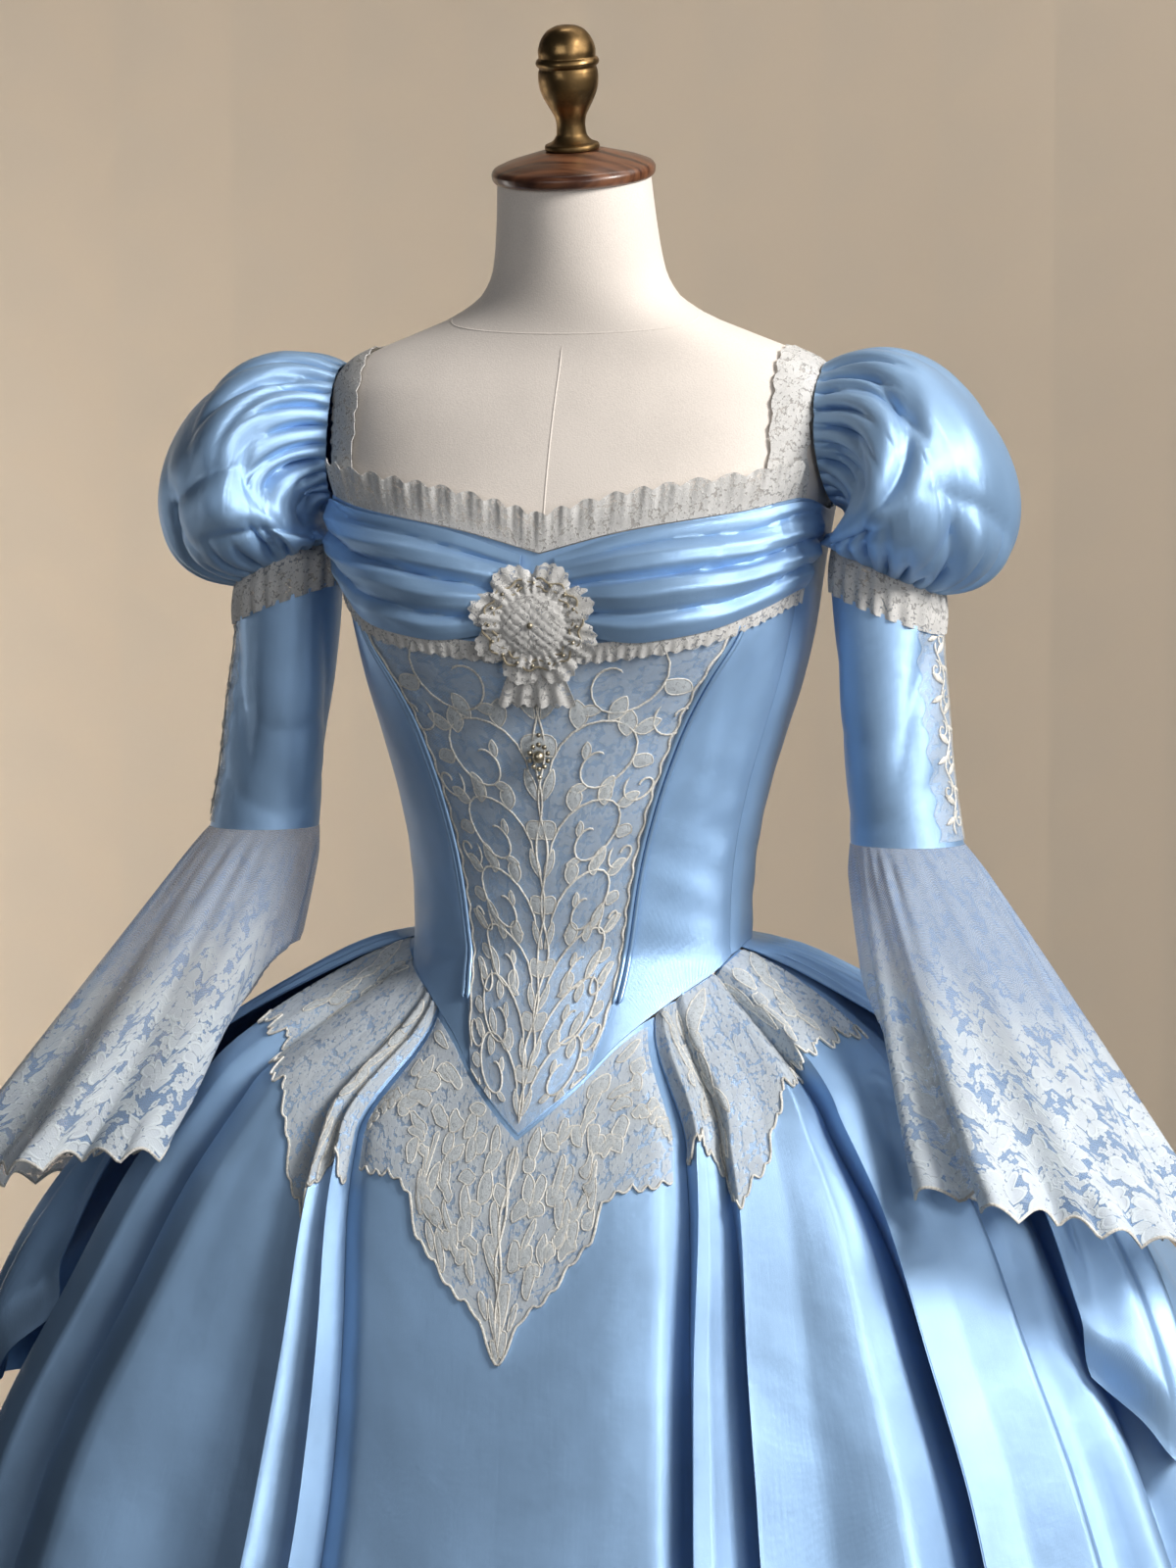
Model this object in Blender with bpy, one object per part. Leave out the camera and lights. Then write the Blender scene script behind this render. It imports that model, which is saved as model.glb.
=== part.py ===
"""Ball gown of blue satin and lace on a limbless dress form.

Metres, +Z up. The gown's front faces -Y and the wearer's left arm is at +X. The origin is the middle of
the stand's foot, on the floor. Every piece of cloth is a thin closed wall: an outer grid of points, worked
out from tables of sections or folds, and an inner grid moved in by the cloth's thickness.
"""

import math

import bpy
import numpy as np

# ---------------------------------------------------------------- driving dimensions
SEAM_GAP = 0.0003  # between two pieces at a seam
SATIN = 0.0014  # wall of the satin pieces
LACE = 0.0010  # wall of the lace pieces
TULLE = 0.0010  # wall of the flounces
COVER = 0.0027  # from the dress form to the outside of the bodice
HEM = 0.012  # height of the skirt's hem above the floor
BUST = 0.020  # how far the cups stand out
BUST_ANGLE, BUST_HEIGHT = 33.0, 1.270
BUST_WIDTH, BUST_RISE = 20.0, 0.046
CUP_SLACK = 0.0028  # the form's own bust is this much flatter than the cups
EASE = 0.0018  # the bodice stands this much further off the form below the neckline
FORM_BOTTOM = 0.900
NECK_TILT = 12.0  # the neck's top leans forward
FOOT_RADIUS, FOOT_HEIGHT = 0.170, 0.032
POLE_RADIUS = 0.014
PUFF_GATHERS = 14
FLOUNCE_WAVES = 8
GALLOON_ROWS = 10
PETAL_POINTS = 3
BELLY_RADIUS = 0.125  # of the bodice's front, to turn a place across it into an angle
GALLOON_MIDDLE, GALLOON_HALF = 14.0, 29.0  # degrees round the sleeve, from its outer side
LEFT, RIGHT = 1, -1
SIDES = (("left", LEFT), ("right", RIGHT))

COLOURS = {  # name: (colour, roughness, metallic)
    "satin": ((0.30, 0.48, 0.68), 0.36, 0.0),
    "lace": ((0.66, 0.67, 0.66), 0.80, 0.0),
    "tulle": ((0.62, 0.68, 0.74), 0.85, 0.0),
    "linen": ((0.80, 0.74, 0.68), 0.90, 0.0),
    "wood": ((0.13, 0.055, 0.028), 0.42, 0.0),
    "brass": ((0.42, 0.27, 0.11), 0.38, 1.0),
}


def table(names, rows):
    """Rows of numbers as a dictionary of named columns."""
    return dict(zip(names.split(), np.array(rows, float).T))


# Outside of the bodice from the waist up, and the bare form above it: half width, depths, centre line and
# how much fuller than an ellipse the section is at its corners.
FIGURE = table(
    "z half_width front back middle square",
    (
        (1.045, 0.1192, 0.0960, 0.0905, 0.000, 0.000),
        (1.070, 0.1195, 0.0965, 0.0900, 0.000, 0.000),
        (1.105, 0.1225, 0.0985, 0.0920, 0.000, 0.000),
        (1.145, 0.1305, 0.1030, 0.0965, 0.000, 0.000),
        (1.185, 0.1420, 0.1070, 0.1015, 0.000, 0.005),
        (1.225, 0.1545, 0.1100, 0.1045, 0.000, 0.010),
        (1.265, 0.1635, 0.1105, 0.1065, 0.000, 0.020),
        (1.300, 0.1685, 0.1070, 0.1075, 0.000, 0.045),
        (1.335, 0.1735, 0.1000, 0.1065, 0.000, 0.080),
        (1.365, 0.1770, 0.0910, 0.1035, 0.000, 0.100),
        (1.395, 0.1790, 0.0800, 0.0975, 0.000, 0.100),
        (1.420, 0.1785, 0.0690, 0.0880, 0.000, 0.100),
        (1.438, 0.1705, 0.0600, 0.0785, 0.000, 0.080),
        (1.450, 0.1500, 0.0550, 0.0710, -0.001, 0.050),
        (1.462, 0.1200, 0.0525, 0.0645, -0.002, 0.020),
        (1.474, 0.0910, 0.0515, 0.0600, -0.004, 0.000),
        (1.488, 0.0710, 0.0510, 0.0565, -0.007, 0.000),
        (1.505, 0.0625, 0.0510, 0.0540, -0.010, 0.000),
        (1.535, 0.0580, 0.0510, 0.0525, -0.016, 0.000),
        (1.565, 0.0555, 0.0510, 0.0510, -0.022, 0.000),
    ),
)
# Outside of the bodice below the waist, where its point lies over the belly.
POINT = table(
    "z half_width front back",
    (
        (0.920, 0.1580, 0.1600, 0.1300),
        (0.950, 0.1500, 0.1470, 0.1200),
        (0.980, 0.1400, 0.1300, 0.1100),
        (1.010, 0.1300, 0.1130, 0.1000),
        (1.030, 0.1230, 0.1020, 0.0940),
    ),
)
# The form's hips, inside the skirt.
HIPS = table(
    "z half_width front back",
    (
        (0.900, 0.1540, 0.1060, 0.1180),
        (0.930, 0.1550, 0.1070, 0.1200),
        (0.965, 0.1480, 0.1050, 0.1140),
        (1.000, 0.1340, 0.1010, 0.1030),
        (1.025, 0.1235, 0.0975, 0.0945),
    ),
)
# The skirt's sections, without its folds.
SKIRT = table(
    "z half_width front back",
    (
        (0.000, 0.6250, 0.4280, 0.7000),
        (0.350, 0.5600, 0.3350, 0.5750),
        (0.550, 0.5050, 0.2760, 0.4950),
        (0.700, 0.4500, 0.2310, 0.4250),
        (0.800, 0.3960, 0.2020, 0.3750),
        (0.880, 0.3500, 0.1780, 0.3250),
        (0.950, 0.2900, 0.1500, 0.2650),
        (0.980, 0.2630, 0.1330, 0.2330),
        (1.007, 0.2380, 0.1160, 0.1960),
        (1.028, 0.2110, 0.1050, 0.1530),
        (1.040, 0.1830, 0.0990, 0.1300),
        (1.047, 0.1520, 0.0970, 0.1120),
        (1.053, 0.1205, 0.0960, 0.0912),
    ),
)
# Edges of the bodice by the angle from the centre front: waist seam, neckline, underside of the bust drape.
WAISTLINE = table(
    "angle z",
    (
        (0, 0.9290),
        (15, 0.9640),
        (26, 0.9900),
        (44, 1.0150),
        (60, 1.0285),
        (75, 1.0400),
        (95, 1.0460),
        (180, 1.0480),
    ),
)
NECKLINE = table(
    "angle z",
    ((0, 1.3130), (20, 1.3290), (45, 1.3420), (62, 1.3500), (90, 1.3420), (125, 1.3560), (180, 1.3600)),
)
DRAPE_EDGE = table(
    "angle z",
    ((0, 1.2480), (15, 1.2520), (35, 1.2620), (55, 1.2780), (74, 1.2900), (180, 1.3000)),
)
STOMACHER_FOOT = 16.5  # angle at which the stomacher's edges meet the waist seam
# Half of the stomacher as an angle, by height. It meets the waistline at its lowest row.
STOMACHER_EDGE = table(
    "z angle",
    (
        (0.968, STOMACHER_FOOT),
        (1.000, 21.5),
        (1.040, 26.5),
        (1.105, 31.0),
        (1.165, 36.0),
        (1.230, 42.0),
        (1.265, 47.0),
        (1.345, 52.0),
    ),
)
SIDE_SEAM, BACK_SEAM, DRAPE_END = 72.0, 128.0, 74.0
BODICE_SEAMS = (STOMACHER_FOOT, SIDE_SEAM, BACK_SEAM, 180.0)
STOMACHER_CELLS, BODICE_CELLS = 12, (4, 4, 3)  # columns of cells in the stomacher, front, side and back
STRAP_INNER, STRAP_OUTER = 0.1480, 0.1700  # X of the straps' edges on the shoulder
STRAP_CLEARANCE = 0.0012  # from the form's shoulder
STRAP_TAPER = 0.0040  # their outer edges come in by this much at the neckline
# The sleeve from the lace band's top down to the flounce: centre, radius and how far the outer side drops.
SLEEVE = table(
    "z x y radius drop",
    (
        (1.1160, 0.2315, -0.010, 0.0385, 0.000),
        (1.1600, 0.2260, -0.008, 0.0370, 0.002),
        (1.2200, 0.2190, -0.005, 0.0380, 0.006),
        (1.2750, 0.2150, -0.002, 0.0380, 0.015),
        (1.3010, 0.2155, 0.000, 0.0375, 0.017),
    ),
)
BAND_TOP, BAND_LOW, CUFF = 1.3010, 1.2750, 1.1160
ARMHOLE_X, ARMHOLE_Z = 0.1758, 1.3925
ARMHOLE_HEIGHT, ARMHOLE_DEPTH = 0.0485, 0.0420  # its half height and half depth
ARMHOLE_LEAN = 0.0035  # its top, front and back lie this much nearer the neck
FLOUNCE_CENTRE = (0.338, -0.062, 0.884)  # of the left hem, mirrored for the right
FLOUNCE_RADIUS = 0.104
SKIRT_ROWS = (0.0, 0.014, 0.034, 0.062, 0.100, 0.155, 0.230, 0.330, 0.460, 0.620, 0.800, 1.0)
TRACK_ROWS = (0.0, 0.090, 0.350, 1.0)  # where the fold tables give a fold's angle and how far it is set in
# Folds from the front seam to the side, for each side: angles (degrees) and set in (mm) at the waist, high
# hip, thigh and hem. Negative means that the fold stands out. Steps is the number of columns to the next row.
LEVELS = ("waist", "hip", "thigh", "hem")
FOLD_COLUMNS = "waist hip thigh hem waist_in hip_in thigh_in hem_in steps"
LEFT_FOLDS = table(
    FOLD_COLUMNS,
    (
        (36.0, 20.4, 15.6, 14.5, 5, 14, 24, 26, 1),
        (39.0, 22.4, 17.6, 16.6, 0, 0, -2, -2, 1),
        (41.0, 23.6, 19.2, 18.4, 1, 2, 2, 2, 1),
        (43.5, 25.1, 20.9, 20.3, 4, 12, 24, 26, 1),
        (46.0, 27.2, 23.2, 22.8, 0, -1, -3, -3, 2),
        (53.0, 32.5, 29.5, 29.5, 1, 2, 5, 2, 2),
        (59.0, 38.2, 36.6, 37.2, 0, -2, -4, -4, 1),
        (62.0, 41.2, 39.8, 41.0, 6, 22, 48, 52, 1),
        (65.0, 44.4, 43.4, 45.0, 0, -2, -4, -4, 2),
        (72.0, 51.0, 49.0, 50.5, 1, 2, 4, 2, 2),
        (78.0, 59.0, 55.6, 57.0, 0, -3, -6, -6, 1),
        (81.0, 63.0, 59.6, 61.5, 5, 18, 36, 42, 1),
    ),
)
RIGHT_FOLDS = table(
    FOLD_COLUMNS,
    (
        (36.0, 22.0, 14.6, 13.8, 4, 10, 16, 18, 1),
        (38.0, 23.6, 16.4, 15.6, 0, -1, -3, -3, 1),
        (40.0, 24.8, 18.8, 18.2, 3, 8, 16, 18, 1),
        (42.0, 26.4, 20.9, 20.4, 0, -1, -4, -4, 1),
        (44.5, 28.4, 23.2, 23.0, 3, 8, 18, 22, 1),
        (47.5, 31.2, 26.6, 27.0, 0, 0, 10, 2, 2),
        (55.0, 38.5, 41.5, 41.5, 0, -4, -10, -8, 2),
        (62.0, 45.5, 48.8, 49.0, 1, 3, 8, 6, 1),
        (65.0, 48.5, 52.0, 52.5, 4, 14, 34, 40, 1),
        (69.0, 52.5, 55.0, 56.0, 0, -3, -6, -6, 2),
        (78.0, 59.5, 60.5, 61.5, 0, -2, -5, -5, 1),
        (81.0, 63.0, 63.4, 64.5, 5, 18, 34, 40, 1),
    ),
)
BACK_FOLDS = 7  # folds of each underskirt half, from the side to the centre back
SWAG_ROOM = 0.020  # how far the swag stands out over the hip, below the flounces
UNDER_SET_IN = 0.018  # how far the underskirt lies inside the overskirt
# The swag's lower edge, by how far round it goes from the front edge (0) to the centre back (1).
SWAG = table(
    "round angle_waist angle_low z_low puff",
    (
        (0.00, 81.0, 68.0, 0.770, 0.000),
        (0.12, 87.0, 76.0, 0.715, 0.016),
        (0.28, 97.0, 90.0, 0.700, 0.028),
        (0.50, 120.0, 116.0, 0.660, 0.032),
        (0.75, 150.0, 148.0, 0.600, 0.032),
        (1.00, 180.0, 180.0, 0.560, 0.020),
    ),
)
# Columns of the front panel: their angles at the waist, which the bodice shares, and from a hand's breadth
# below it their share of the panel's width. The edges are tucked in, and the cloth has soft waves (mm).
FRONT = table(
    "top share edge wave",
    (
        (-36.000, 0.00, 1.0, 0.0),
        (-30.375, 0.10, 0.1, 0.0),
        (-16.500, 0.24, 0.0, 4.0),
        (-8.250, 0.37, 0.0, 0.8),
        (0.000, 0.50, 0.0, 3.6),
        (8.250, 0.63, 0.0, 0.0),
        (16.500, 0.76, 0.0, 3.2),
        (30.375, 0.90, 0.0, 0.0),
        (36.000, 1.00, 0.0, 0.0),
    ),
)
# Depth below the waist seam of the lace point's scalloped edge, by the share of the panel's half width.
PEPLUM = table(
    "across drop",
    (
        (0.00, 0.155),
        (0.09, 0.140),
        (0.18, 0.152),
        (0.27, 0.136),
        (0.36, 0.148),
        (0.45, 0.118),
        (0.54, 0.124),
        (0.63, 0.098),
        (0.72, 0.114),
        (0.81, 0.094),
    ),
)
PEPLUM_COLUMNS = 19
PEPLUM_TOP, HIP_LACE_TOP = 0.0040, 0.0008  # where the point and the hip lace begin below the waist seam

# ---------------------------------------------------------------- curves, surfaces and walls


def through(knots, values, at):
    """Smooth curve through the values at the knots, with no overshoot: a cubic on each stretch, level at
    a knot where the curve turns back, held at its end values beyond the ends."""
    knots, values = np.asarray(knots, float), np.asarray(values, float)
    step = np.diff(knots)
    rise = np.diff(values) / step
    slope = np.concatenate([rise[:1], np.zeros(len(step) - 1), rise[-1:]])
    same = rise[1:] * rise[:-1] > 0
    total = np.where(same, rise[1:] + rise[:-1], 1.0)
    slope[1:-1] = np.where(same, 2 * rise[1:] * rise[:-1] / total, 0.0)
    at = np.clip(np.asarray(at, float), knots[0], knots[-1])
    k = np.clip(np.searchsorted(knots, at, side="right") - 1, 0, len(step) - 1)
    t = (at - knots[k]) / step[k]
    rest = 1 - t
    return (
        values[k] * (1 + 2 * t) * rest**2
        + values[k + 1] * (3 - 2 * t) * t**2
        + step[k] * (slope[k] * t * rest**2 - slope[k + 1] * rest * t**2)
    )


def ease(x, start, end):
    """0 before start, 1 after end, with level ends between."""
    t = np.clip((np.asarray(x, float) - start) / (end - start), 0, 1)
    return t * t * (3 - 2 * t)


def column(rows, name, at, key="z"):
    """A table's column as a smooth curve over its key column."""
    return through(rows[key], rows[name], at)


def by_angle(rows, angle):
    """Height of an edge at an angle in degrees, the same on both sides."""
    return through(rows["angle"], rows["z"], np.abs(angle))


def waist_at(angle):
    """Height of the waist seam: straight between the columns that the bodice and the skirt share."""
    inner = np.linspace(0, STOMACHER_FOOT, 3)
    outer = [
        np.linspace(first, last, cells_across + 1)[1:]
        for first, last, cells_across in zip(BODICE_SEAMS[:-1], BODICE_SEAMS[1:], BODICE_CELLS)
    ]
    stops = np.concatenate([inner, *outer])
    return np.interp(np.abs(angle), stops, by_angle(WAISTLINE, stops))


def join_rows(lower, upper, names):
    """One table from two, the lower rows first."""
    return {name: np.concatenate([lower.get(name, 0 * lower["z"]), upper[name]]) for name in names}


TORSO_COLUMNS = ("z", "half_width", "front", "back", "middle", "square")
BODICE = join_rows(POINT, FIGURE, TORSO_COLUMNS)
FORM = join_rows(HIPS, FIGURE, TORSO_COLUMNS)


def oval(rows, angle, z, out=0.0):
    """Point at an angle (degrees from the front, towards the wearer's left) of a section at a height."""
    turn = np.radians(angle)
    width = column(rows, "half_width", z) + out
    depth = np.where(np.cos(turn) > 0, column(rows, "front", z), column(rows, "back", z)) + out
    middle = column(rows, "middle", z) if "middle" in rows else 0.0
    full = 1 + (column(rows, "square", z) if "square" in rows else 0.0) * np.sin(2 * turn) ** 2
    return np.stack([width * full * np.sin(turn), middle - depth * full * np.cos(turn), z + 0.0 * turn], -1)


def cups(angle, z, height):
    """Push outwards, level with the floor, that makes the two cups."""
    away = (np.abs(angle) - BUST_ANGLE) / BUST_WIDTH
    rise = (z - BUST_HEIGHT) / BUST_RISE
    turn = np.radians(angle)
    push = height * np.exp(-(away**2) - rise**2)
    return push[..., None] * np.stack([np.sin(turn), -np.cos(turn), 0 * turn], -1)


def bodice_at(angle, z):
    """Outer face of the bodice."""
    angle, z = np.broadcast_arrays(np.asarray(angle, float), np.asarray(z, float))
    return oval(BODICE, angle, z) + cups(angle, z, BUST)


def form_at(angle, z):
    """Outer face of the dress form, its neck leaning forward."""
    angle, z = np.broadcast_arrays(np.asarray(angle, float), np.asarray(z, float))
    slack = EASE * (1 - ease(z, 1.315, 1.365))
    points = oval(FORM, angle, z, -COVER - slack) + cups(angle, z, BUST - CUP_SLACK)
    lean = np.clip((z - 1.488) / (FIGURE["z"][-1] - 1.488), 0, 1) * math.tan(math.radians(NECK_TILT))
    points[..., 2] += lean * (points[..., 1] - column(FORM, "middle", z))
    return points


def normals_of(points):
    """Unit normals of a grid of points, from the differences between neighbours."""
    across = np.cross(np.gradient(points, axis=0), np.gradient(points, axis=1))
    return across / np.linalg.norm(across, axis=-1, keepdims=True)


def ring_normals(points):
    """Unit normals of a grid whose first and last columns are the same line."""
    round_grid = np.concatenate([points[-2:-1], points, points[1:2]])
    return normals_of(round_grid)[1:-1]


def surface_normals(surface, first, second, step=(0.5, 0.002)):
    """Unit normals of a surface of two values, from small steps each way."""
    one = surface(first + step[0], second) - surface(first - step[0], second)
    two = surface(first, second + step[1]) - surface(first, second - step[1])
    across = np.cross(one, two)
    return across / np.linalg.norm(across, axis=-1, keepdims=True)


def cells(index):
    """Two triangles for each cell of a grid of vertex numbers, all split along the same diagonal."""
    a, b, c, d = index[:-1, :-1], index[1:, :-1], index[1:, 1:], index[:-1, 1:]
    halves = [np.stack([a, b, c], -1), np.stack([a, c, d], -1)]
    return np.concatenate([half.reshape(-1, 3) for half in halves])


def trimmed(grid, amount=SEAM_GAP / 2):
    """A grid whose first and last columns are drawn in a little, to leave the seam's gap."""
    grid = grid.copy()
    for edge, near in ((0, 1), (-1, -2)):
        away = grid[near] - grid[edge]
        grid[edge] += away * (amount / np.linalg.norm(away, axis=-1, keepdims=True))
    return grid


def material(name):
    """The material of that name, made the first time it is asked for."""
    found = bpy.data.materials.get(name)
    if found:
        return found
    colour, roughness, metallic = COLOURS[name]
    made = bpy.data.materials.new(name)
    made.use_nodes = True
    shader = made.node_tree.nodes["Principled BSDF"]
    shader.inputs["Base Color"].default_value = (*colour, 1.0)
    shader.inputs["Roughness"].default_value = roughness
    shader.inputs["Metallic"].default_value = metallic
    return made


def solid(name, points, triangles, finish):
    """A closed mesh object, turned right side out by its volume."""
    points, triangles = np.asarray(points, float), np.asarray(triangles)
    a, b, c = (points[triangles[:, k]] for k in range(3))
    if np.einsum("ij,ij->i", a, np.cross(b, c)).sum() < 0:
        triangles = triangles[:, ::-1]
    mesh = bpy.data.meshes.new(name)
    mesh.from_pydata(points.tolist(), [], triangles.tolist())
    mesh.shade_smooth()
    mesh.set_sharp_from_angle(angle=math.radians(50))
    mesh.materials.append(material(finish))
    made = bpy.data.objects.new(name, mesh)
    bpy.context.scene.collection.objects.link(made)
    return made


def wall(name, outer, inner, finish, ring=False, gaps=None, gap_share=0.62):
    """A closed wall between two grids of points. A ring's last column is its first one again. Gaps is a
    mask of the cells that are cut through; the hole takes gap_share of the cell's width and height."""
    count = outer.shape[0] - (1 if ring else 0)
    rows = outer.shape[1]
    index = np.arange(count * rows).reshape(count, rows)
    if ring:
        index = np.concatenate([index, index[:1]])
    under = index + count * rows
    points = [outer[:count].reshape(-1, 3), inner[:count].reshape(-1, 3)]
    faces = [
        cells(np.stack([index[:, 0], under[:, 0]])),
        cells(np.stack([under[:, -1], index[:, -1]])),
    ]
    if not ring:
        faces.append(cells(np.stack([under[0], index[0]])))
        faces.append(cells(np.stack([index[-1], under[-1]])))
    top, low = cells(index), cells(under)[:, ::-1]
    if gaps is not None and gaps.any():
        keep = np.tile(~gaps.reshape(-1), 2)
        top, low = top[keep], low[keep]
        start = 2 * count * rows
        for i, j in zip(*np.nonzero(gaps)):
            at = ((i, j), (i + 1, j), (i + 1, j + 1), (i, j + 1))
            for grid, numbers, offset in ((outer, index, 0), (inner, under, 4)):
                corners = np.array([grid[k] for k in at])
                points.append(corners.mean(axis=0) + gap_share * (corners - corners.mean(axis=0)))
                edge = np.array([numbers[k] for k in at])
                hole = start + offset + np.arange(4)
                ring_of = np.stack([np.append(edge, edge[0]), np.append(hole, hole[0])])
                faces.append(cells(ring_of) if offset else cells(ring_of)[:, ::-1])
            hole = start + np.arange(4)
            faces.append(cells(np.stack([np.append(hole, hole[0]), np.append(hole, hole[0]) + 4]))[:, ::-1])
            start += 8
    return solid(name, np.concatenate(points), np.concatenate([*faces, top, low]), finish)


def lathe(name, profile, finish, segments, centre=(0.0, 0.0, 0.0), tilt=0.0):
    """A turned solid: rings of (radius, height) between two poles on an axis that leans forward by tilt."""
    profile = np.array(profile, float)
    turn = np.arange(segments) * 2 * math.pi / segments
    radius, height = profile[1:-1, 0], profile[1:-1, 1]
    rings = np.stack(
        [np.outer(np.cos(turn), radius), np.outer(np.sin(turn), radius), np.tile(height, (segments, 1))], -1
    )
    points = np.concatenate([rings.reshape(-1, 3), [(0, 0, profile[0, 1]), (0, 0, profile[-1, 1])]])
    cosine, sine = math.cos(math.radians(tilt)), math.sin(math.radians(tilt))
    forward = points[:, 1] * cosine - points[:, 2] * sine
    upward = points[:, 1] * sine + points[:, 2] * cosine
    points = np.stack([points[:, 0], forward, upward], -1) + np.asarray(centre)
    index = np.arange(segments * len(radius)).reshape(segments, -1)
    index = np.concatenate([index, index[:1]])
    low, high = segments * len(radius), segments * len(radius) + 1
    bottom = np.stack([index[1:, 0], index[:-1, 0], np.full(segments, low)], -1)
    top = np.stack([index[:-1, -1], index[1:, -1], np.full(segments, high)], -1)
    return solid(name, points, np.concatenate([cells(index), bottom, top]), finish)


def cord(name, path, radius, finish, sides=6):
    """A round cord along a path, with flat ends."""
    path = np.asarray(path, float)
    along = np.gradient(path, axis=0)
    along /= np.linalg.norm(along, axis=1, keepdims=True)
    side = np.cross(along, path * (1, 1, 0) + (0, 1e-4, 0))
    side /= np.linalg.norm(side, axis=1, keepdims=True)
    up = np.cross(side, along)
    turn = np.arange(sides) * 2 * math.pi / sides
    rings = path[None] + radius * (
        np.cos(turn)[:, None, None] * side[None] + np.sin(turn)[:, None, None] * up[None]
    )
    index = np.arange(sides * len(path)).reshape(sides, -1)
    index = np.concatenate([index, index[:1]])
    points = np.concatenate([rings.reshape(-1, 3), path[:1], path[-1:]])
    first, last = sides * len(path), sides * len(path) + 1
    ends = [
        np.stack([index[1:, 0], index[:-1, 0], np.full(sides, first)], -1),
        np.stack([index[:-1, -1], index[1:, -1], np.full(sides, last)], -1),
    ]
    return solid(name, points, np.concatenate([cells(index), *ends]), finish)


# ---------------------------------------------------------------- what the cloth rests on


def make_form():
    """Closed torso from the hips to the neck, one solid with flat ends."""
    heights = np.concatenate([HIPS["z"], np.linspace(1.045, 1.335, 8), FIGURE["z"][9:]])
    columns = 22
    angles = np.arange(columns + 1) * 360.0 / columns
    angles = np.where(angles > 180, angles - 360, angles)
    rings = form_at(angles[:, None], heights[None])
    index = np.arange(columns * len(heights)).reshape(columns, -1)
    index = np.concatenate([index, index[:1]])
    points = rings[:-1].reshape(-1, 3)
    low, high = len(points), len(points) + 1
    points = np.concatenate([points, [rings[:-1, 0].mean(axis=0), rings[:-1, -1].mean(axis=0)]])
    bottom = np.stack([index[1:, 0], index[:-1, 0], np.full(columns, low)], -1)
    top = np.stack([index[:-1, -1], index[1:, -1], np.full(columns, high)], -1)
    solid("form_torso", points, np.concatenate([cells(index), bottom, top]), "linen")


def make_cap_and_finial():
    """Turned wooden cap on the neck and the brass finial on it, both square to the leaning neck."""
    tilt = math.radians(NECK_TILT)
    axis = np.array([0, -math.sin(tilt), math.cos(tilt)])
    middle = FIGURE["middle"][-1] + (FIGURE["back"][-1] - FIGURE["front"][-1]) / 2
    seat = np.array([0, middle, FIGURE["z"][-1]]) + SEAM_GAP * axis
    cap = (
        (0, 0),
        (0.0520, 0),
        (0.0550, 0.0022),
        (0.0560, 0.0060),
        (0.0540, 0.0092),
        (0.0440, 0.0135),
        (0.0260, 0.0185),
        (0.0190, 0.0200),
        (0, 0.0200),
    )
    lathe("neck_cap", cap, "wood", 18, seat, NECK_TILT)
    finial = (
        (0, 0),
        (0.0180, 0),
        (0.0185, 0.0035),
        (0.0125, 0.0070),
        (0.0098, 0.0165),
        (0.0125, 0.0265),
        (0.0180, 0.0370),
        (0.0205, 0.0490),
        (0.0195, 0.0560),
        (0.0215, 0.0590),
        (0.0195, 0.0625),
        (0.0180, 0.0700),
        (0.0130, 0.0790),
        (0, 0.0840),
    )
    lathe("finial", finial, "brass", 12, seat + (0.0200 + SEAM_GAP) * axis, NECK_TILT)


def make_stand():
    """Turned foot on the floor and the pole up to the form."""
    foot = (
        (0, 0),
        (FOOT_RADIUS, 0),
        (FOOT_RADIUS, 0.010),
        (FOOT_RADIUS - 0.012, 0.018),
        (0.055, FOOT_HEIGHT - 0.006),
        (0.030, FOOT_HEIGHT),
        (0, FOOT_HEIGHT),
    )
    lathe("stand_foot", foot, "wood", 20)
    start, end = FOOT_HEIGHT + SEAM_GAP, FORM_BOTTOM - SEAM_GAP
    lathe("stand_pole", ((0, start), (POLE_RADIUS, start), (POLE_RADIUS, end), (0, end)), "wood", 12)


# ---------------------------------------------------------------- bodice

BODICE_ROWS = 11  # from the waistline to the drape's underside
UPPER_ROWS = 2  # from there to the neckline


def bodice_grid(first, last, cells_across):
    """Grid of (angle, height) between two seams, given as functions of height or as plain angles. The seams'
    angles hang on the height and the edges' heights on the angle, so a few rounds settle both."""
    share = np.linspace(0, 1, cells_across + 1)[:, None]
    rows = np.concatenate([np.linspace(0, 1, BODICE_ROWS), 1 + np.linspace(0, 1, UPPER_ROWS + 1)[1:]])[None]
    z = np.full((cells_across + 1, rows.shape[1]), 1.15)
    for _ in range(12):
        low = first(z[:1]) if callable(first) else first
        high = last(z[-1:]) if callable(last) else last
        angle = low + share * (high - low)
        bottom, edge, top = waist_at(angle), by_angle(DRAPE_EDGE, angle), by_angle(NECKLINE, angle)
        z = np.where(rows <= 1, bottom + rows * (edge - bottom), edge + (rows - 1) * (top - edge))
    return angle, z


def stomacher_edge(z):
    return column(STOMACHER_EDGE, "angle", z)


def bodice_pieces():
    """Name, (angle, height) grid and surface of each piece of the bodice."""
    middle = bodice_grid(lambda z: -stomacher_edge(z), stomacher_edge, STOMACHER_CELLS)
    pieces = [("bodice_stomacher", middle)]
    seams = (stomacher_edge, *BODICE_SEAMS[1:])
    for word, side in SIDES:
        for part, first, last, across in zip(("front", "side", "back"), seams[:-1], seams[1:], BODICE_CELLS):
            angle, z = bodice_grid(first, last, across)
            pieces.append((f"bodice_{part}_{word}", (side * angle, z)))
    return pieces


def raised(angle, z, out):
    """Points of the bodice's face moved out along its normals."""
    return bodice_at(angle, z) + surface_normals(bodice_at, angle, z) * np.asarray(out)[..., None]


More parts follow.
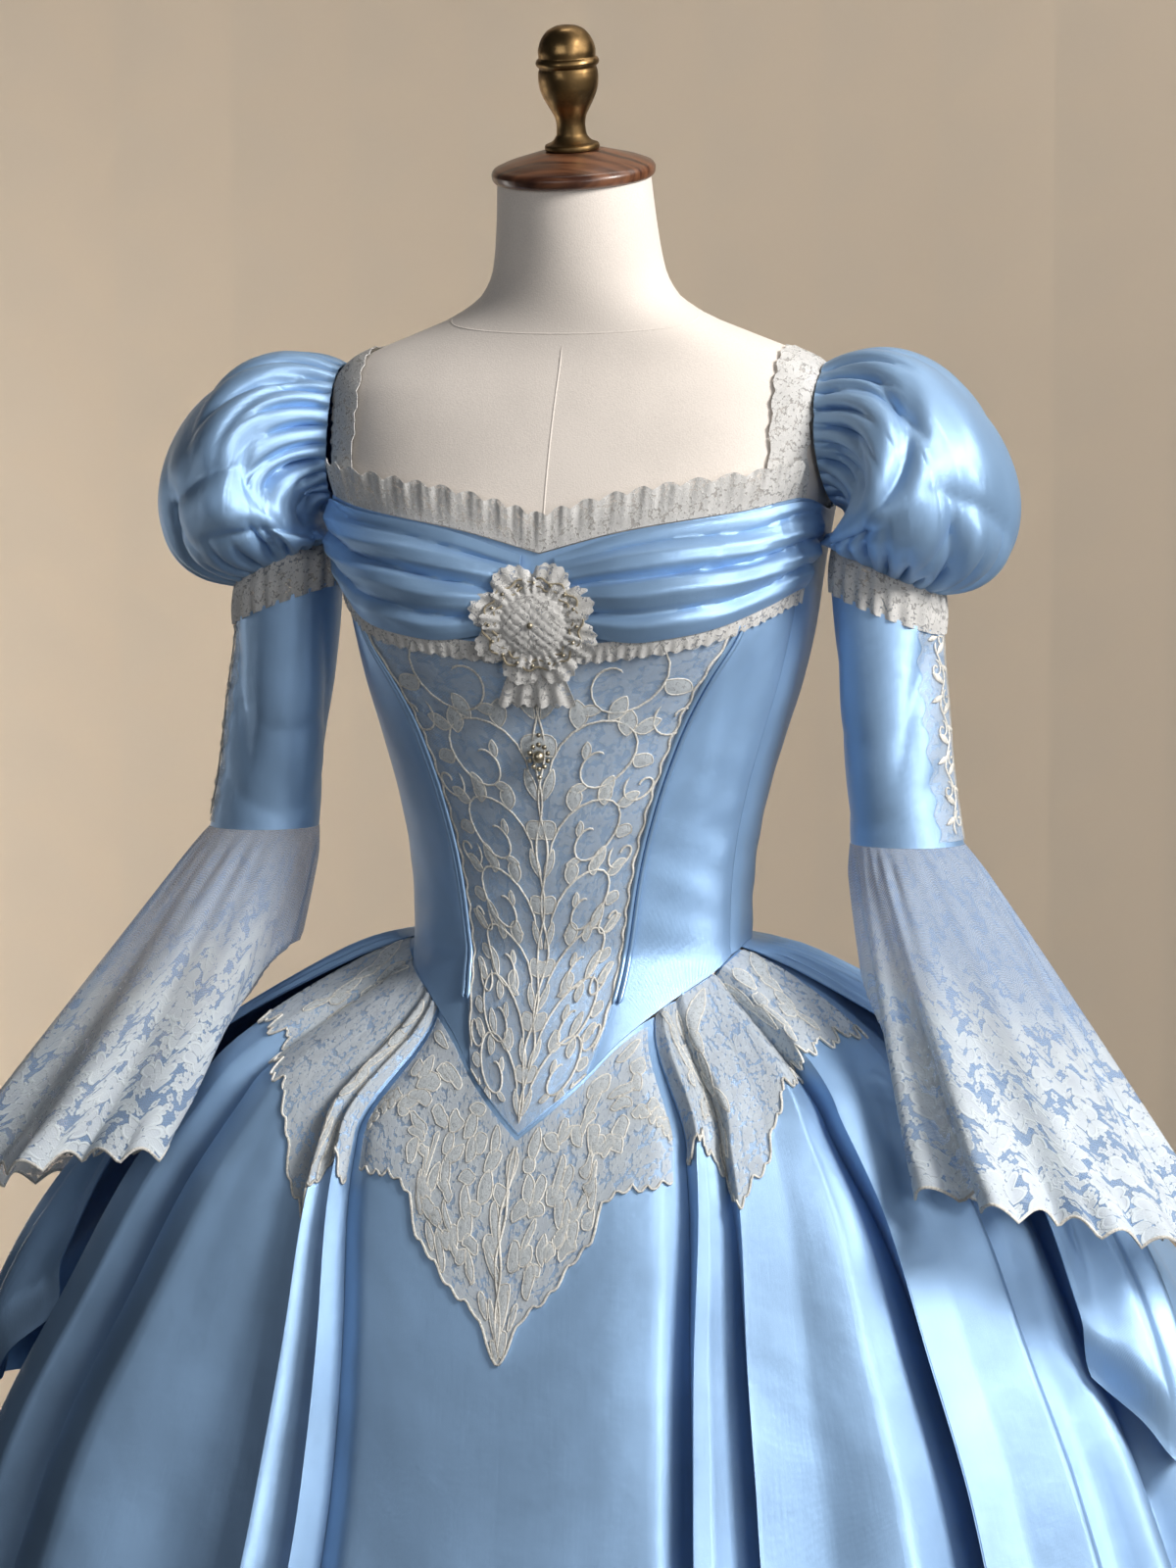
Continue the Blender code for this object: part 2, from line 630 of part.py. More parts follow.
def make_bodice():
    for name, (angle, z) in bodice_pieces():
        outer = trimmed(bodice_at(angle, z))
        wall(name, outer, outer - SATIN * surface_normals(bodice_at, angle, z), "satin")


def stomacher_face():
    """Points and normals of the stomacher's face, from the waist seam to the underside of the drapes."""
    angle, z = (grid[:, :BODICE_ROWS] for grid in bodice_pieces()[0][1])
    return bodice_at(angle, z), surface_normals(bodice_at, angle, z)


def make_stomacher_lace():
    """Lace over the stomacher, a raised stem up its middle and leaf-shaped gaps on both sides of it."""
    face, out = stomacher_face()
    face = trimmed(face, 0.0034)
    face[:, 0] += 0.05 * (face[:, 1] - face[:, 0])
    face[:, -1] += 0.05 * (face[:, -2] - face[:, -1])
    across = np.linspace(-1, 1, STOMACHER_CELLS + 1)[:, None, None]
    stem = 0.0014 * np.exp(-((across / 0.10) ** 2))
    lift = np.full((STOMACHER_CELLS + 1, 1, 1), SEAM_GAP)
    lift[[0, -1]] = 6 * SEAM_GAP
    lift[[1, -2]] = 3 * SEAM_GAP
    gaps = np.zeros((STOMACHER_CELLS, BODICE_ROWS - 1), bool)
    for row in range(2, BODICE_ROWS - 1):
        cell = (1, 3)[row % 2]
        gaps[[cell, -1 - cell], row] = True
    wall("stomacher_lace", face + out * (lift + LACE + stem), face + out * lift, "lace", gaps=gaps)


def make_piping():
    """Satin cord over the seam on each side of the stomacher."""
    radius = 0.0017
    face, out = stomacher_face()
    path = face + out * (radius / math.cos(math.pi / 5) + 2 * SEAM_GAP)
    for word, edge in (("left", -1), ("right", 0)):
        cord(f"stomacher_piping_{word}", path[edge, 1:-1], radius, "satin", sides=5)


def make_frill():
    """Scalloped lace that stands up along the neckline, in a front and a back piece."""
    for name, first, last, columns in (("front", -59.0, 59.0, 25), ("back", 120.0, 240.0, 15)):
        angle = np.linspace(first, last, columns)[:, None]
        edge = np.where(angle > 180, angle - 360, angle)
        rise = np.array([0.0, 0.55, 1.0])[None]
        scallop = 0.0035 * np.where(np.arange(columns) % 2, 1.0, -1.0)[:, None] * (rise == 1)
        z = by_angle(NECKLINE, edge) + SEAM_GAP + 0.0190 * rise + scallop
        lean = 0.0012 + 0.0050 * rise + 0.0014 * rise * np.where(np.arange(columns) % 4 < 2, 1, -1)[:, None]
        outer = raised(edge + 0 * z, z, lean)
        inner = raised(edge + 0 * z, z, lean - LACE)
        wall(f"neck_frill_{name}", outer, inner, "lace")


def form_side(x, z, behind):
    """Y of the form's face at a place across and a height, on its front or its back."""
    turns = np.linspace(0, 90, 181)
    lines = form_at((180 - turns if behind else turns)[:, None], z[None])
    return np.array([np.interp(at, lines[:, k, 0], lines[:, k, 1]) for k, at in enumerate(x)])


def make_straps():
    """Lace straps over the form's shoulders, from the front neckline to the back one."""
    heights = np.linspace(1.4205, 1.4740, 200)
    widths = column(FORM, "half_width", heights) - COVER
    over = np.linspace(0, 1, 15)
    behind = over > 0.5
    foot = np.where(behind, NECKLINE["z"][5] + 0.0012, NECKLINE["z"][3]) + SEAM_GAP
    for word, side in SIDES:
        lines = []
        for edge in np.linspace(0, 1, 4):
            taper = STRAP_TAPER * np.abs(np.cos(math.pi * over)) ** 3
            x = STRAP_INNER + edge * (STRAP_OUTER - STRAP_INNER - taper)
            top = np.interp(-x, -widths, heights) - 0.0004
            z = foot + (top - foot) * np.sin(math.pi * over) ** 0.75
            y = np.where(behind, form_side(x, z, True), form_side(x, z, False))
            y = np.where(over == 0.5, 0.0, y)
            lines.append(np.stack([side * x, y, z], -1))
        base = np.array(lines)
        up = normals_of(base)
        up *= np.sign((up * (base - (0, 0, 1.30))).sum())
        wall(f"strap_{word}", base + up * (STRAP_CLEARANCE + LACE), base + up * STRAP_CLEARANCE, "lace")


def make_bust_drapes():
    """Gathered satin across each side of the bust, its folds running from the centre to the armhole."""
    columns, rows, folds = 11, 8, 3.0
    for word, side in SIDES:
        angle = np.linspace(4.0, DRAPE_END, columns)[:, None]
        share = np.linspace(0, 1, rows)[None]
        low = by_angle(DRAPE_EDGE, angle)
        high = by_angle(NECKLINE, angle) - 0.0030
        pinch = 0.010 * (1 - ease(angle, 4, 26))
        z = (low + pinch) + share * (high - low - 2 * pinch)
        swell = ease(angle, 2, 22) * (1 - 0.55 * ease(angle, 60, 76))
        wave = 0.5 - 0.5 * np.cos(2 * math.pi * (folds * share + 0.25 * np.radians(angle)))
        out = 0.0009 + SATIN + 0.0062 * swell * wave * np.sin(math.pi * (0.06 + 0.88 * share))
        turned = side * angle + 0 * z
        wall(f"bust_drape_{word}", raised(turned, z, out), raised(turned, z, out - SATIN), "satin")


def flower(name, centre, width, height, lift, thick, petals, finish, rings=2):
    """A domed rosette on the bodice: an outline with round petals, flat behind."""
    turn = np.arange(PETAL_POINTS * petals) * 2 * math.pi / (PETAL_POINTS * petals)
    outline = 1 - 0.13 * (0.5 + 0.5 * np.cos(petals * turn))
    share = np.linspace(1, 0.45, rings)
    across = centre[0] + width / 2 * np.outer(np.sin(turn) * outline, share)
    rise = centre[1] + height / 2 * np.outer(np.cos(turn) * outline, share)
    angle = np.degrees(across / BELLY_RADIUS)
    dome = thick * np.linspace(0.35, 0.85, rings)[None] + 0 * rise
    front = raised(angle, rise, lift + dome)
    back = raised(angle, rise, np.full(rise.shape, lift))
    count = len(turn)
    numbers = np.arange(count * rings).reshape(count, rings)
    numbers = np.concatenate([numbers, numbers[:1]])
    under = numbers + count * rings
    tips = np.array([[2 * count * rings], [2 * count * rings + 1]]) + np.zeros((2, count), int)
    at = np.full(2, math.degrees(centre[0] / BELLY_RADIUS)), np.full(2, centre[1])
    poles = raised(*at, np.array([lift + thick, lift]))
    faces = [
        cells(numbers),
        cells(under)[:, ::-1],
        cells(np.stack([numbers[:, 0], under[:, 0]])),
        np.stack([numbers[:-1, -1], numbers[1:, -1], tips[0]], -1),
        np.stack([under[1:, -1], under[:-1, -1], tips[1]], -1),
    ]
    points = np.concatenate([front.reshape(-1, 3), back.reshape(-1, 3), poles])
    solid(name, points, np.concatenate(faces), finish)


def make_ornaments():
    flower("bust_rosette", (0.001, 1.2660), 0.068, 0.078, 0.0056, 0.0080, 8, "lace")
    flower("bodice_brooch", (0.001, 1.1780), 0.015, 0.020, 0.0032, 0.0050, 5, "brass")


# ---------------------------------------------------------------- sleeves


def sleeve_at(side, turn, z, out=0.0):
    """Point of a sleeve: turn 0 is the outer side, a quarter turn the front. The outer side hangs lower."""
    radius = column(SLEEVE, "radius", z) + out
    x = column(SLEEVE, "x", z) + radius * np.cos(turn)
    y = column(SLEEVE, "y", z) - radius * np.sin(turn)
    return np.stack([side * x, y, z - column(SLEEVE, "drop", z) * np.cos(turn)], -1)


def puff_grid(side, columns, rows):
    """Balloon of a puff: for each line round it a curve from the armhole to the lace band, which leaves the
    armhole outwards, comes in to the band from outside, and is longest over the shoulder."""
    turn = np.linspace(0, 2 * math.pi, columns + 1)[:, None]
    s = np.linspace(0, 1, rows)[None]
    cosine, sine = np.cos(turn), np.sin(turn)
    zero = 0 * cosine
    start_x = ARMHOLE_X - ARMHOLE_LEAN * (cosine + sine**2)
    start = np.concatenate([start_x, -ARMHOLE_DEPTH * sine, ARMHOLE_Z + ARMHOLE_HEIGHT * cosine], 1)[:, None]
    end = sleeve_at(1, turn[:, 0], BAND_TOP + zero[:, 0])[:, None]
    size = (0.18 + 0.82 * (0.5 + 0.5 * cosine) ** 0.62)[:, None]
    leave = 0.37 * size * np.concatenate([zero + 0.86, -0.62 * sine, 0.50 * cosine], 1)[:, None]
    arrive = -0.34 * size * np.concatenate([cosine, -sine, zero + 0.06], 1)[:, None]
    t = s[..., None]
    points = (
        start * (1 + 2 * t) * (1 - t) ** 2
        + end * (3 - 2 * t) * t**2
        + leave * t * (1 - t) ** 2
        - arrive * (1 - t) * t**2
    )
    points[..., 0] *= side
    return points, turn, s


def make_puffs():
    """Satin puffs, gathered at both ends, with soft dents between."""
    for word, side in SIDES:
        points, turn, s = puff_grid(side, 2 * PUFF_GATHERS, 7)
        out = ring_normals(points)
        out *= np.sign((out * (points - points.mean(axis=(0, 1)))).sum())
        ends = np.clip(np.abs(2 * s - 1), 0, 1) ** 1.5 * ease(np.minimum(s, 1 - s), 0.0, 0.10)
        gathers = -0.0050 * ends * (0.5 - 0.5 * np.cos(PUFF_GATHERS * turn))
        dents = -0.0060 * np.sin(math.pi * s) ** 2 * (0.5 + 0.5 * np.sin(3 * turn + 5 * s + side))
        points = points + out * (gathers + dents)[..., None]
        inner = points - out * SATIN
        points[-1], inner[-1] = points[0], inner[0]
        wall(f"puff_{word}", points, inner, "satin", ring=True)


def sleeve_tube(name, side, top, low, columns, rows, thickness, finish, ripple=0.0):
    """A stretch of the sleeve between two heights, as a ring."""
    turn = np.linspace(0, 2 * math.pi, columns + 1)[:, None]
    z = np.linspace(low, top, rows)[None] + 0 * turn
    wave = ripple * np.where(np.arange(columns + 1) % 2, 1.0, 0.0)[:, None] * np.linspace(1, 0.3, rows)[None]
    outer = sleeve_at(side, turn + 0 * z, z, wave)
    inner = sleeve_at(side, turn + 0 * z, z, wave - thickness)
    return wall(name, outer, inner, finish, ring=True)


def make_sleeves():
    """Lace band under each puff, the fitted sleeve below it and the galloon along its outer side."""
    for word, side in SIDES:
        sleeve_tube(f"puff_band_{word}", side, BAND_TOP - SEAM_GAP, BAND_LOW, 16, 3, LACE, "lace", 0.0015)
        sleeve_tube(f"sleeve_{word}", side, BAND_LOW - SEAM_GAP, CUFF + SEAM_GAP, 16, 5, SATIN, "satin")
        z = np.linspace(CUFF + 0.006, BAND_LOW - 0.006, GALLOON_ROWS)[None]
        across = np.linspace(-1, 1, 4)[:, None]
        scallop = 0.14 * np.where(np.arange(GALLOON_ROWS) % 2, 1, -1) * (np.abs(across) == 1)
        turn = np.radians(GALLOON_MIDDLE + GALLOON_HALF * across * (1 + scallop))
        lift = SEAM_GAP + 0.0007
        outer = sleeve_at(side, turn, z + 0 * turn, lift + LACE)
        inner = sleeve_at(side, turn, z + 0 * turn, lift)
        wall(f"sleeve_lace_{word}", outer, inner, "lace")


def clear_of_skirt(points, clearance):
    """The points, with each one that lies within the skirt's outline moved out to it on the level."""
    x, y, z = (points[..., k] for k in range(3))
    room = clearance + SWAG_ROOM * ease(-z, -1.00, -0.86)
    width = column(SKIRT, "half_width", z) + room
    depth = np.where(y < 0, column(SKIRT, "front", z), column(SKIRT, "back", z)) + clearance
    share = np.sqrt((x / width) ** 2 + (y / depth) ** 2)
    push = np.where((share < 1) & (z < SKIRT["z"][-1]), 1 / np.maximum(share, 0.2), 1.0)
    return np.stack([x * push, y * push, z], -1)


def flounce_grid(side, turn, s):
    """Flared ruffle below the elbow: a cone that leans out and forward, waved more towards its hem, longer
    at the outer back, and kept outside the skirt."""
    top = sleeve_at(1, turn + 0 * s, CUFF + 0 * turn * s)
    centre = np.array([SLEEVE["x"][0], SLEEVE["y"][0], CUFF])
    hem = np.array(FLOUNCE_CENTRE)
    radius = FLOUNCE_RADIUS * (1 + 0.10 * np.cos(turn + 0.7))
    waves = 0.015 * s**1.2 * np.cos(FLOUNCE_WAVES * turn)
    long = 0.052 * (0.5 + 0.5 * np.cos(turn + math.radians(50))) - 0.012
    open_share = s**0.85
    middle = centre + s[..., None] * (hem - centre)
    spread = (SLEEVE["radius"][0] + (radius - SLEEVE["radius"][0]) * open_share) + waves
    x = middle[..., 0] + spread * np.cos(turn)
    y = middle[..., 1] - spread * np.sin(turn)
    z = middle[..., 2] - long * s + 0 * turn
    points = np.stack([x, y, z], -1)
    points = np.where(s[..., None] == 0, top, points)
    points = clear_of_skirt(points, 0.012)
    points[..., 0] *= side
    return points


def make_flounces():
    """Each flounce in a front and a back half, gaps cut through the lace border above its hem."""
    columns = 4 * FLOUNCE_WAVES
    s = np.array([0, 0.14, 0.38, 0.60, 0.80, 1.0])[None]
    turn = np.linspace(0, 2 * math.pi, columns + 1)[:, None]
    for word, side in SIDES:
        points = flounce_grid(side, turn, s)
        points[..., 2] -= SEAM_GAP * (s == 0)
        out = ring_normals(points)
        out *= -side
        inner = points - out * TULLE
        half = columns // 2
        for part, cut in (("front", slice(0, half + 1)), ("back", slice(half, columns + 1))):
            outer_half, inner_half = points[cut].copy(), inner[cut].copy()
            for grid in (outer_half, inner_half):
                for edge, near in ((0, 1), (-1, -2)):
                    away = grid[near] - grid[edge]
                    grid[edge] += away * (SEAM_GAP / 2 / np.linalg.norm(away, axis=-1, keepdims=True))
            gaps = np.zeros((half, s.shape[1] - 1), bool)
            gaps[1::3, -1] = True
            gaps[2::3, -2] = True
            wall(f"flounce_{part}_{word}", outer_half, inner_half, "tulle", gaps=gaps, gap_share=0.5)


# ---------------------------------------------------------------- skirt


def skirt_at(angle, v, top_angle, set_in):
    """Outer face of the skirt: v runs from the waist seam (0) to the hem (1). It leaves the bodice's edge at
    top_angle, reaches the skirt's own section within a few centimetres, and is set in along its normals."""
    start = waist_at(top_angle) - SEAM_GAP * np.where(np.abs(top_angle) < STOMACHER_FOOT, 2.4, 1)
    z = start + (HEM - start) * v

    def envelope(turn, height):
        return oval(SKIRT, turn, height)

    fade = 1 - ease(v, 0.0, 0.085)
    edge = bodice_at(top_angle + 0 * v, start + 0 * v)
    first = envelope(top_angle + 0 * v, start + 0 * v)
    points = envelope(angle + 0 * v, z) + (edge - first) * fade[..., None]
    points[..., 2] = z
    across = surface_normals(envelope, angle + 0 * v, z)
    level = 1 - ease(v, 0.06, 0.20)
    inwards = across * np.stack([1 + 0 * level, 1 + 0 * level, level], -1)
    inwards /= np.linalg.norm(inwards, axis=-1, keepdims=True)
    points = points - inwards * set_in[..., None]
    across[:, :1] = surface_normals(bodice_at, top_angle, start)
    return points, across


def fold_tracks(folds, side):
    """Columns of a folded panel: angle at the waist and, for each row, its angle and how far it is set in."""
    position, spots = 0.0, []
    for steps in folds["steps"][:-1].astype(int):
        spots.extend(position + np.arange(steps) / steps)
        position += 1
    spots.append(position)
    spots = np.array(spots)
    number = np.arange(len(folds["waist"]))
    angle_at = np.array([through(number, folds[k], spots) for k in LEVELS])
    in_at = np.array([through(number, folds[k + "_in"], spots) for k in LEVELS])
    rows = np.array(SKIRT_ROWS)
    angle = np.array([through(TRACK_ROWS, angle_at[:, k], rows) for k in range(len(spots))])
    set_in = np.array([through(TRACK_ROWS, in_at[:, k], rows) for k in range(len(spots))])
    return side * angle_at[0][:, None], side * angle, set_in / 1000


def cloth(name, points, thickness, finish, outward):
    """A wall of skirt cloth: the inner face is moved in along the normals of the folded outer face, and at
    the waist seam along the bodice's, so that the two edges lie face to face."""
    across = normals_of(points)
    across *= np.sign((across * outward).sum())
    across[:, 0] = outward[:, 0]
    return wall(name, points, points - across * thickness, finish)


def side_panel(side):
    """Outer face of a pleated side panel and its outward directions."""
    top, angle, set_in = fold_tracks(LEFT_FOLDS if side == LEFT else RIGHT_FOLDS, side)
    rows = np.array(SKIRT_ROWS)[None]
    return skirt_at(angle, rows + 0 * angle, top, set_in)


def front_panel():
    """Outer face of the flat front panel, whose edges are tucked into the first folds."""
    rows = np.array(SKIRT_ROWS)[None]
    _, left, left_in = fold_tracks(LEFT_FOLDS, LEFT)
    _, right, right_in = fold_tracks(RIGHT_FOLDS, RIGHT)
    top, low, edge, wave = (FRONT[name][:, None] for name in ("top", "share", "edge", "wave"))
    at_waist = (top - right[0, 0]) / (left[0, 0] - right[0, 0])
    share = at_waist + (low - at_waist) * ease(rows, 0.0, 0.10)
    angle = right[:1] + share * (left[:1] - right[:1])
    set_in = edge * right_in[:1] + edge[::-1] * left_in[:1] + wave / 1000 * ease(rows, 0.2, 0.6)
    return skirt_at(angle, rows + 0 * angle, top, set_in)


def make_skirt():
    points, across = front_panel()
    cloth("skirt_front", trimmed(points), SATIN, "satin", across)
    for word, side in SIDES:
        points, across = side_panel(side)
        cloth(f"skirt_side_{word}", trimmed(points), SATIN, "satin", across)
        points, across = underskirt(side)
        cloth(f"underskirt_{word}", trimmed(points), SATIN, "satin", across)
        points, across = swag(side)
        cloth(f"overskirt_swag_{word}", trimmed(points), SATIN, "satin", across)


def underskirt(side):
    """Outer face of the underskirt, from the last fold of the side panel to the centre back: even folds
    under the swag, set further in than the side panel and reaching the hem."""
    folds = LEFT_FOLDS if side == LEFT else RIGHT_FOLDS
    count = 2 * BACK_FOLDS + 1
    share = np.linspace(0, 1, count)[:, None]
    rows = np.array(SKIRT_ROWS)[None]
    first = through(TRACK_ROWS, [folds[k][-1] for k in LEVELS], rows)
    angle = first + share * (180.0 - first)
    top = folds["waist"][-1] + share * (180.0 - folds["waist"][-1])
    last_in = through(TRACK_ROWS, [folds[k + "_in"][-1] for k in LEVELS], rows)
    deep = (np.arange(count) % 2 == 0)[:, None] * (0.001 + 0.037 * ease(rows, 0.0, 0.55))
    inside = 0.0026 + UNDER_SET_IN * ease(rows, -0.012, 0.062) * (1 - 0.6 * ease(rows, 0.35, 0.6))
    near_front = 1 - ease(share, 0.0, 0.10)
    set_in = near_front * last_in / 1000 + (1 - near_front) * (deep + inside)
    return skirt_at(side * angle, rows + 0 * angle, side * top, set_in)


def swag(side):
    """Outer face of the looped overskirt: it puffs out over the hip and the back, with soft slanting folds,
    and its lower edge is drawn up at the side."""
    columns, rows = 14, 8
    share = np.linspace(0, 1, columns)[:, None]
    s = (np.linspace(0, 1, rows) ** 1.35)[None]
    top = column(SWAG, "angle_waist", share, "round")
    low = column(SWAG, "angle_low", share, "round")
    start = waist_at(top) - SEAM_GAP
    end = column(SWAG, "z_low", share, "round")
    v = s * (start - end) / (start - HEM)
    angle = top + (low - top) * ease(s, 0.0, 1.0)
    round_out = ease(s, 0.05, 0.85)
    folds = 0.009 * np.sin(2 * math.pi * (3.0 * share + 1.1 * s)) * ease(s, 0.35, 0.8)
    folds = folds * ease(share, 0, 0.15) * (1 - ease(share, 0.86, 1.0))
    tuck = 0.016 * ease(s, 0.84, 1.0)
    out = column(SWAG, "puff", share, "round") * round_out + folds - tuck
    return skirt_at(side * angle, v, side * top, -out)


# ---------------------------------------------------------------- lace on the skirt


def between(columns, spots):
    """Columns of points at fractional column numbers."""
    low = np.clip(np.floor(spots).astype(int), 0, len(columns) - 2)
    t = (spots - low)[:, None, None]
    return columns[low] * (1 - t) + columns[low + 1] * t


def laid_lace(name, panel, spots, heights, lift, gaps=None):
    """Lace made from a skirt panel's own points: its columns at spots, each taken at its own list of heights
    (0 at the waist, 1 at the hem), moved out."""
    points, across = panel
    face = normals_of(points)
    face *= np.sign((face * across).sum())
    grids = []
    for columns in (between(points, spots), between(face, spots)):
        picked = [
            [np.interp(at, SKIRT_ROWS, column_points[:, axis]) for axis in range(3)]
            for column_points, at in zip(columns, heights)
        ]
        grids.append(np.array(picked).transpose(0, 2, 1))
    base, up = grids
    up /= np.linalg.norm(up, axis=-1, keepdims=True)
    wall(name, base + up * (lift + LACE), base + up * lift, "lace", gaps=gaps)


def make_peplum():
    """Lace over the top of the skirt: a deep point down the front panel and a band over each hip."""
    top_rows = np.array([PEPLUM_TOP, *SKIRT_ROWS[1:4]])
    spots = np.linspace(1, len(FRONT["share"]) - 2, PEPLUM_COLUMNS)
    across = np.abs(2 * np.interp(spots, np.arange(len(FRONT["share"])), FRONT["share"]) - 1)
    drop = through(PEPLUM["across"], PEPLUM["drop"], across)
    heights = []
    for low in drop:
        middle = min(SKIRT_ROWS[4], top_rows[-1] + 0.45 * (low - top_rows[-1]))
        heights.append([*top_rows, middle, (middle + low) / 2, low])
    gaps = np.zeros((PEPLUM_COLUMNS - 1, len(heights[0]) - 1), bool)
    gaps[2:-2:4, 2::2] = True
    gaps[4:-2:4, 3::2] = True
    laid_lace("peplum_lace_front", front_panel(), spots, heights, 4 * SEAM_GAP, gaps)
    for word, side in SIDES:
        panel = side_panel(side)
        spots = np.arange(1, len(panel[0]) - 1)
        heights = [[HIP_LACE_TOP, *SKIRT_ROWS[1:5]]] * len(spots)
        laid_lace(f"peplum_lace_{word}", panel, spots, heights, SEAM_GAP)


# ---------------------------------------------------------------- the whole part


def main():
    for thing in list(bpy.data.objects):
        bpy.data.objects.remove(thing, do_unlink=True)
    make_form()
    make_cap_and_finial()
    make_stand()
    make_bodice()
    make_stomacher_lace()
    make_piping()
    make_frill()
    make_straps()
    make_bust_drapes()
    make_ornaments()
    make_puffs()
    make_sleeves()
    make_flounces()
    make_skirt()
    make_peplum()


main()
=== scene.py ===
"""Ball gown of blue satin and corded lace on a limbless dress form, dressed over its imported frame.

Metres, +Z up; the gown's front faces -Y and the wearer's left arm is at +X. Every new surface is a function
of two parameters on a grid, worked out with numpy as whole arrays and closed into a thin wall.
"""

import math

import bpy
import numpy as np
from bpy.props import FloatProperty, FloatVectorProperty, IntProperty, PointerProperty
from bpy.types import Operator, Panel, PropertyGroup
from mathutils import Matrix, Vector


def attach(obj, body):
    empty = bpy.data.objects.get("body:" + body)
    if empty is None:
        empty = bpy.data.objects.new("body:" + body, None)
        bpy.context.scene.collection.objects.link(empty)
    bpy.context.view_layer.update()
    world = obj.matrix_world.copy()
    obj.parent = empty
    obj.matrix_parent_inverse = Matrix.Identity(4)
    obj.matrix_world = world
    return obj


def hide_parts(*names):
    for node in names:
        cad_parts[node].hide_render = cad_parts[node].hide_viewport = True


bl_info = {
    "name": "Satin Ball Gown",
    "version": (1, 0, 0),
    "blender": (4, 5, 0),
    "location": "View3D > Sidebar > Gown",
    "description": "Dresses the packed frame of a ball gown on a dress form",
    "category": "Add Mesh",
}

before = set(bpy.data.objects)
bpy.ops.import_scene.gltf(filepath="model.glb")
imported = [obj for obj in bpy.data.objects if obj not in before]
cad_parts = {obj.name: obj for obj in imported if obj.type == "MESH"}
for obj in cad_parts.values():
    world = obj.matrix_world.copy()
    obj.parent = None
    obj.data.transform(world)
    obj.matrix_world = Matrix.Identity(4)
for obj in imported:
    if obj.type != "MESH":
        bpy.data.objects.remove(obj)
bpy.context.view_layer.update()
LEFT, RIGHT = 1, -1
SIDES = (("left", LEFT), ("right", RIGHT))

# ---------------------------------------------------------------- settings


class SatinSettings(PropertyGroup):
    """The blue satin."""

    colour: FloatVectorProperty(
        name="Colour", description="Body colour of the satin", subtype="COLOR", default=(0.335, 0.540, 0.820)
    )
    thickness: FloatProperty(
        name="Thickness", description="Wall of the satin pieces", unit="LENGTH", default=0.0012
    )
    gathers: IntProperty(name="Gathers", description="Gathers round each end of a puff", default=26, min=8)
    flounce_waves: IntProperty(name="Flounce waves", description="Waves round a flounce", default=8, min=4)


class LaceSettings(PropertyGroup):
    """The corded lace and the net under it."""

    colour: FloatVectorProperty(
        name="Colour", description="Colour of the lace threads", subtype="COLOR", default=(0.74, 0.79, 0.85)
    )
    cord_colour: FloatVectorProperty(
        name="Cord colour", description="Colour of its cords", subtype="COLOR", default=(0.70, 0.68, 0.62)
    )
    cord: FloatProperty(
        name="Cord", description="Half width of the lace's cords", unit="LENGTH", default=0.0009
    )
    thickness: FloatProperty(name="Thickness", description="Wall of the lace", unit="LENGTH", default=0.0006)


class FormSettings(PropertyGroup):
    """What the gown rests on."""

    cover: FloatVectorProperty(
        name="Cover", description="Colour of the form's cover", subtype="COLOR", default=(0.80, 0.73, 0.66)
    )
    segments: IntProperty(name="Segments", description="Facets round a turned piece", default=64, min=12)


class StageSettings(PropertyGroup):
    """Camera, light and backdrop."""

    turn: FloatProperty(
        name="Turn", description="Camera's turn towards +X", subtype="ANGLE", default=math.radians(16)
    )
    tilt: FloatProperty(
        name="Tilt", description="Camera's height angle", subtype="ANGLE", default=math.radians(5)
    )
    distance: FloatProperty(
        name="Distance", description="Camera to the gown's axis", unit="LENGTH", default=3.0
    )
    lens: FloatProperty(name="Lens", description="Focal length in millimetres", default=99.26)
    key: FloatProperty(name="Key", description="Power of the main light", unit="POWER", default=152.0)
    backdrop: FloatVectorProperty(
        name="Backdrop", description="Colour of the backdrop", subtype="COLOR", default=(0.66, 0.56, 0.44)
    )


def settings(context):
    """The add-on's settings."""
    return context.scene.gown_satin, context.scene.gown_lace, context.scene.gown_form


def table(names, rows):
    """Rows of numbers as a dictionary of named columns."""
    return dict(zip(names.split(), np.array(rows, float).T))


# ---------------------------------------------------------------- sizes shared with the frame
SEAM_GAP = 0.0003  # between two pieces at a seam
COVER = 0.0027  # from the dress form to the outside of the bodice
HEM = 0.012  # height of the skirt's hem above the floor
BUST = 0.020  # how far the cups stand out
BUST_ANGLE, BUST_HEIGHT = 33.0, 1.270
BUST_WIDTH, BUST_RISE = 20.0, 0.046
CUP_SLACK = 0.0028  # the form's own bust is this much flatter than the cups
EASE = 0.0018  # the bodice stands this much further off the form below the neckline
FORM_BOTTOM = 0.900
NECK_TILT = 12.0  # the neck's top leans forward, in degrees
FOOT_RADIUS, FOOT_HEIGHT = 0.170, 0.032
POLE_RADIUS = 0.014
BELLY_RADIUS = 0.125  # of the bodice's front, to turn a place across it into an angle
ROSETTE_OVAL = 0.9  # its width as a share of its height
GALLOON_MIDDLE, GALLOON_HALF = 14.0, 29.0  # degrees round the sleeve, from its outer side
DRESSED = "form_cover"  # what the gown rests on
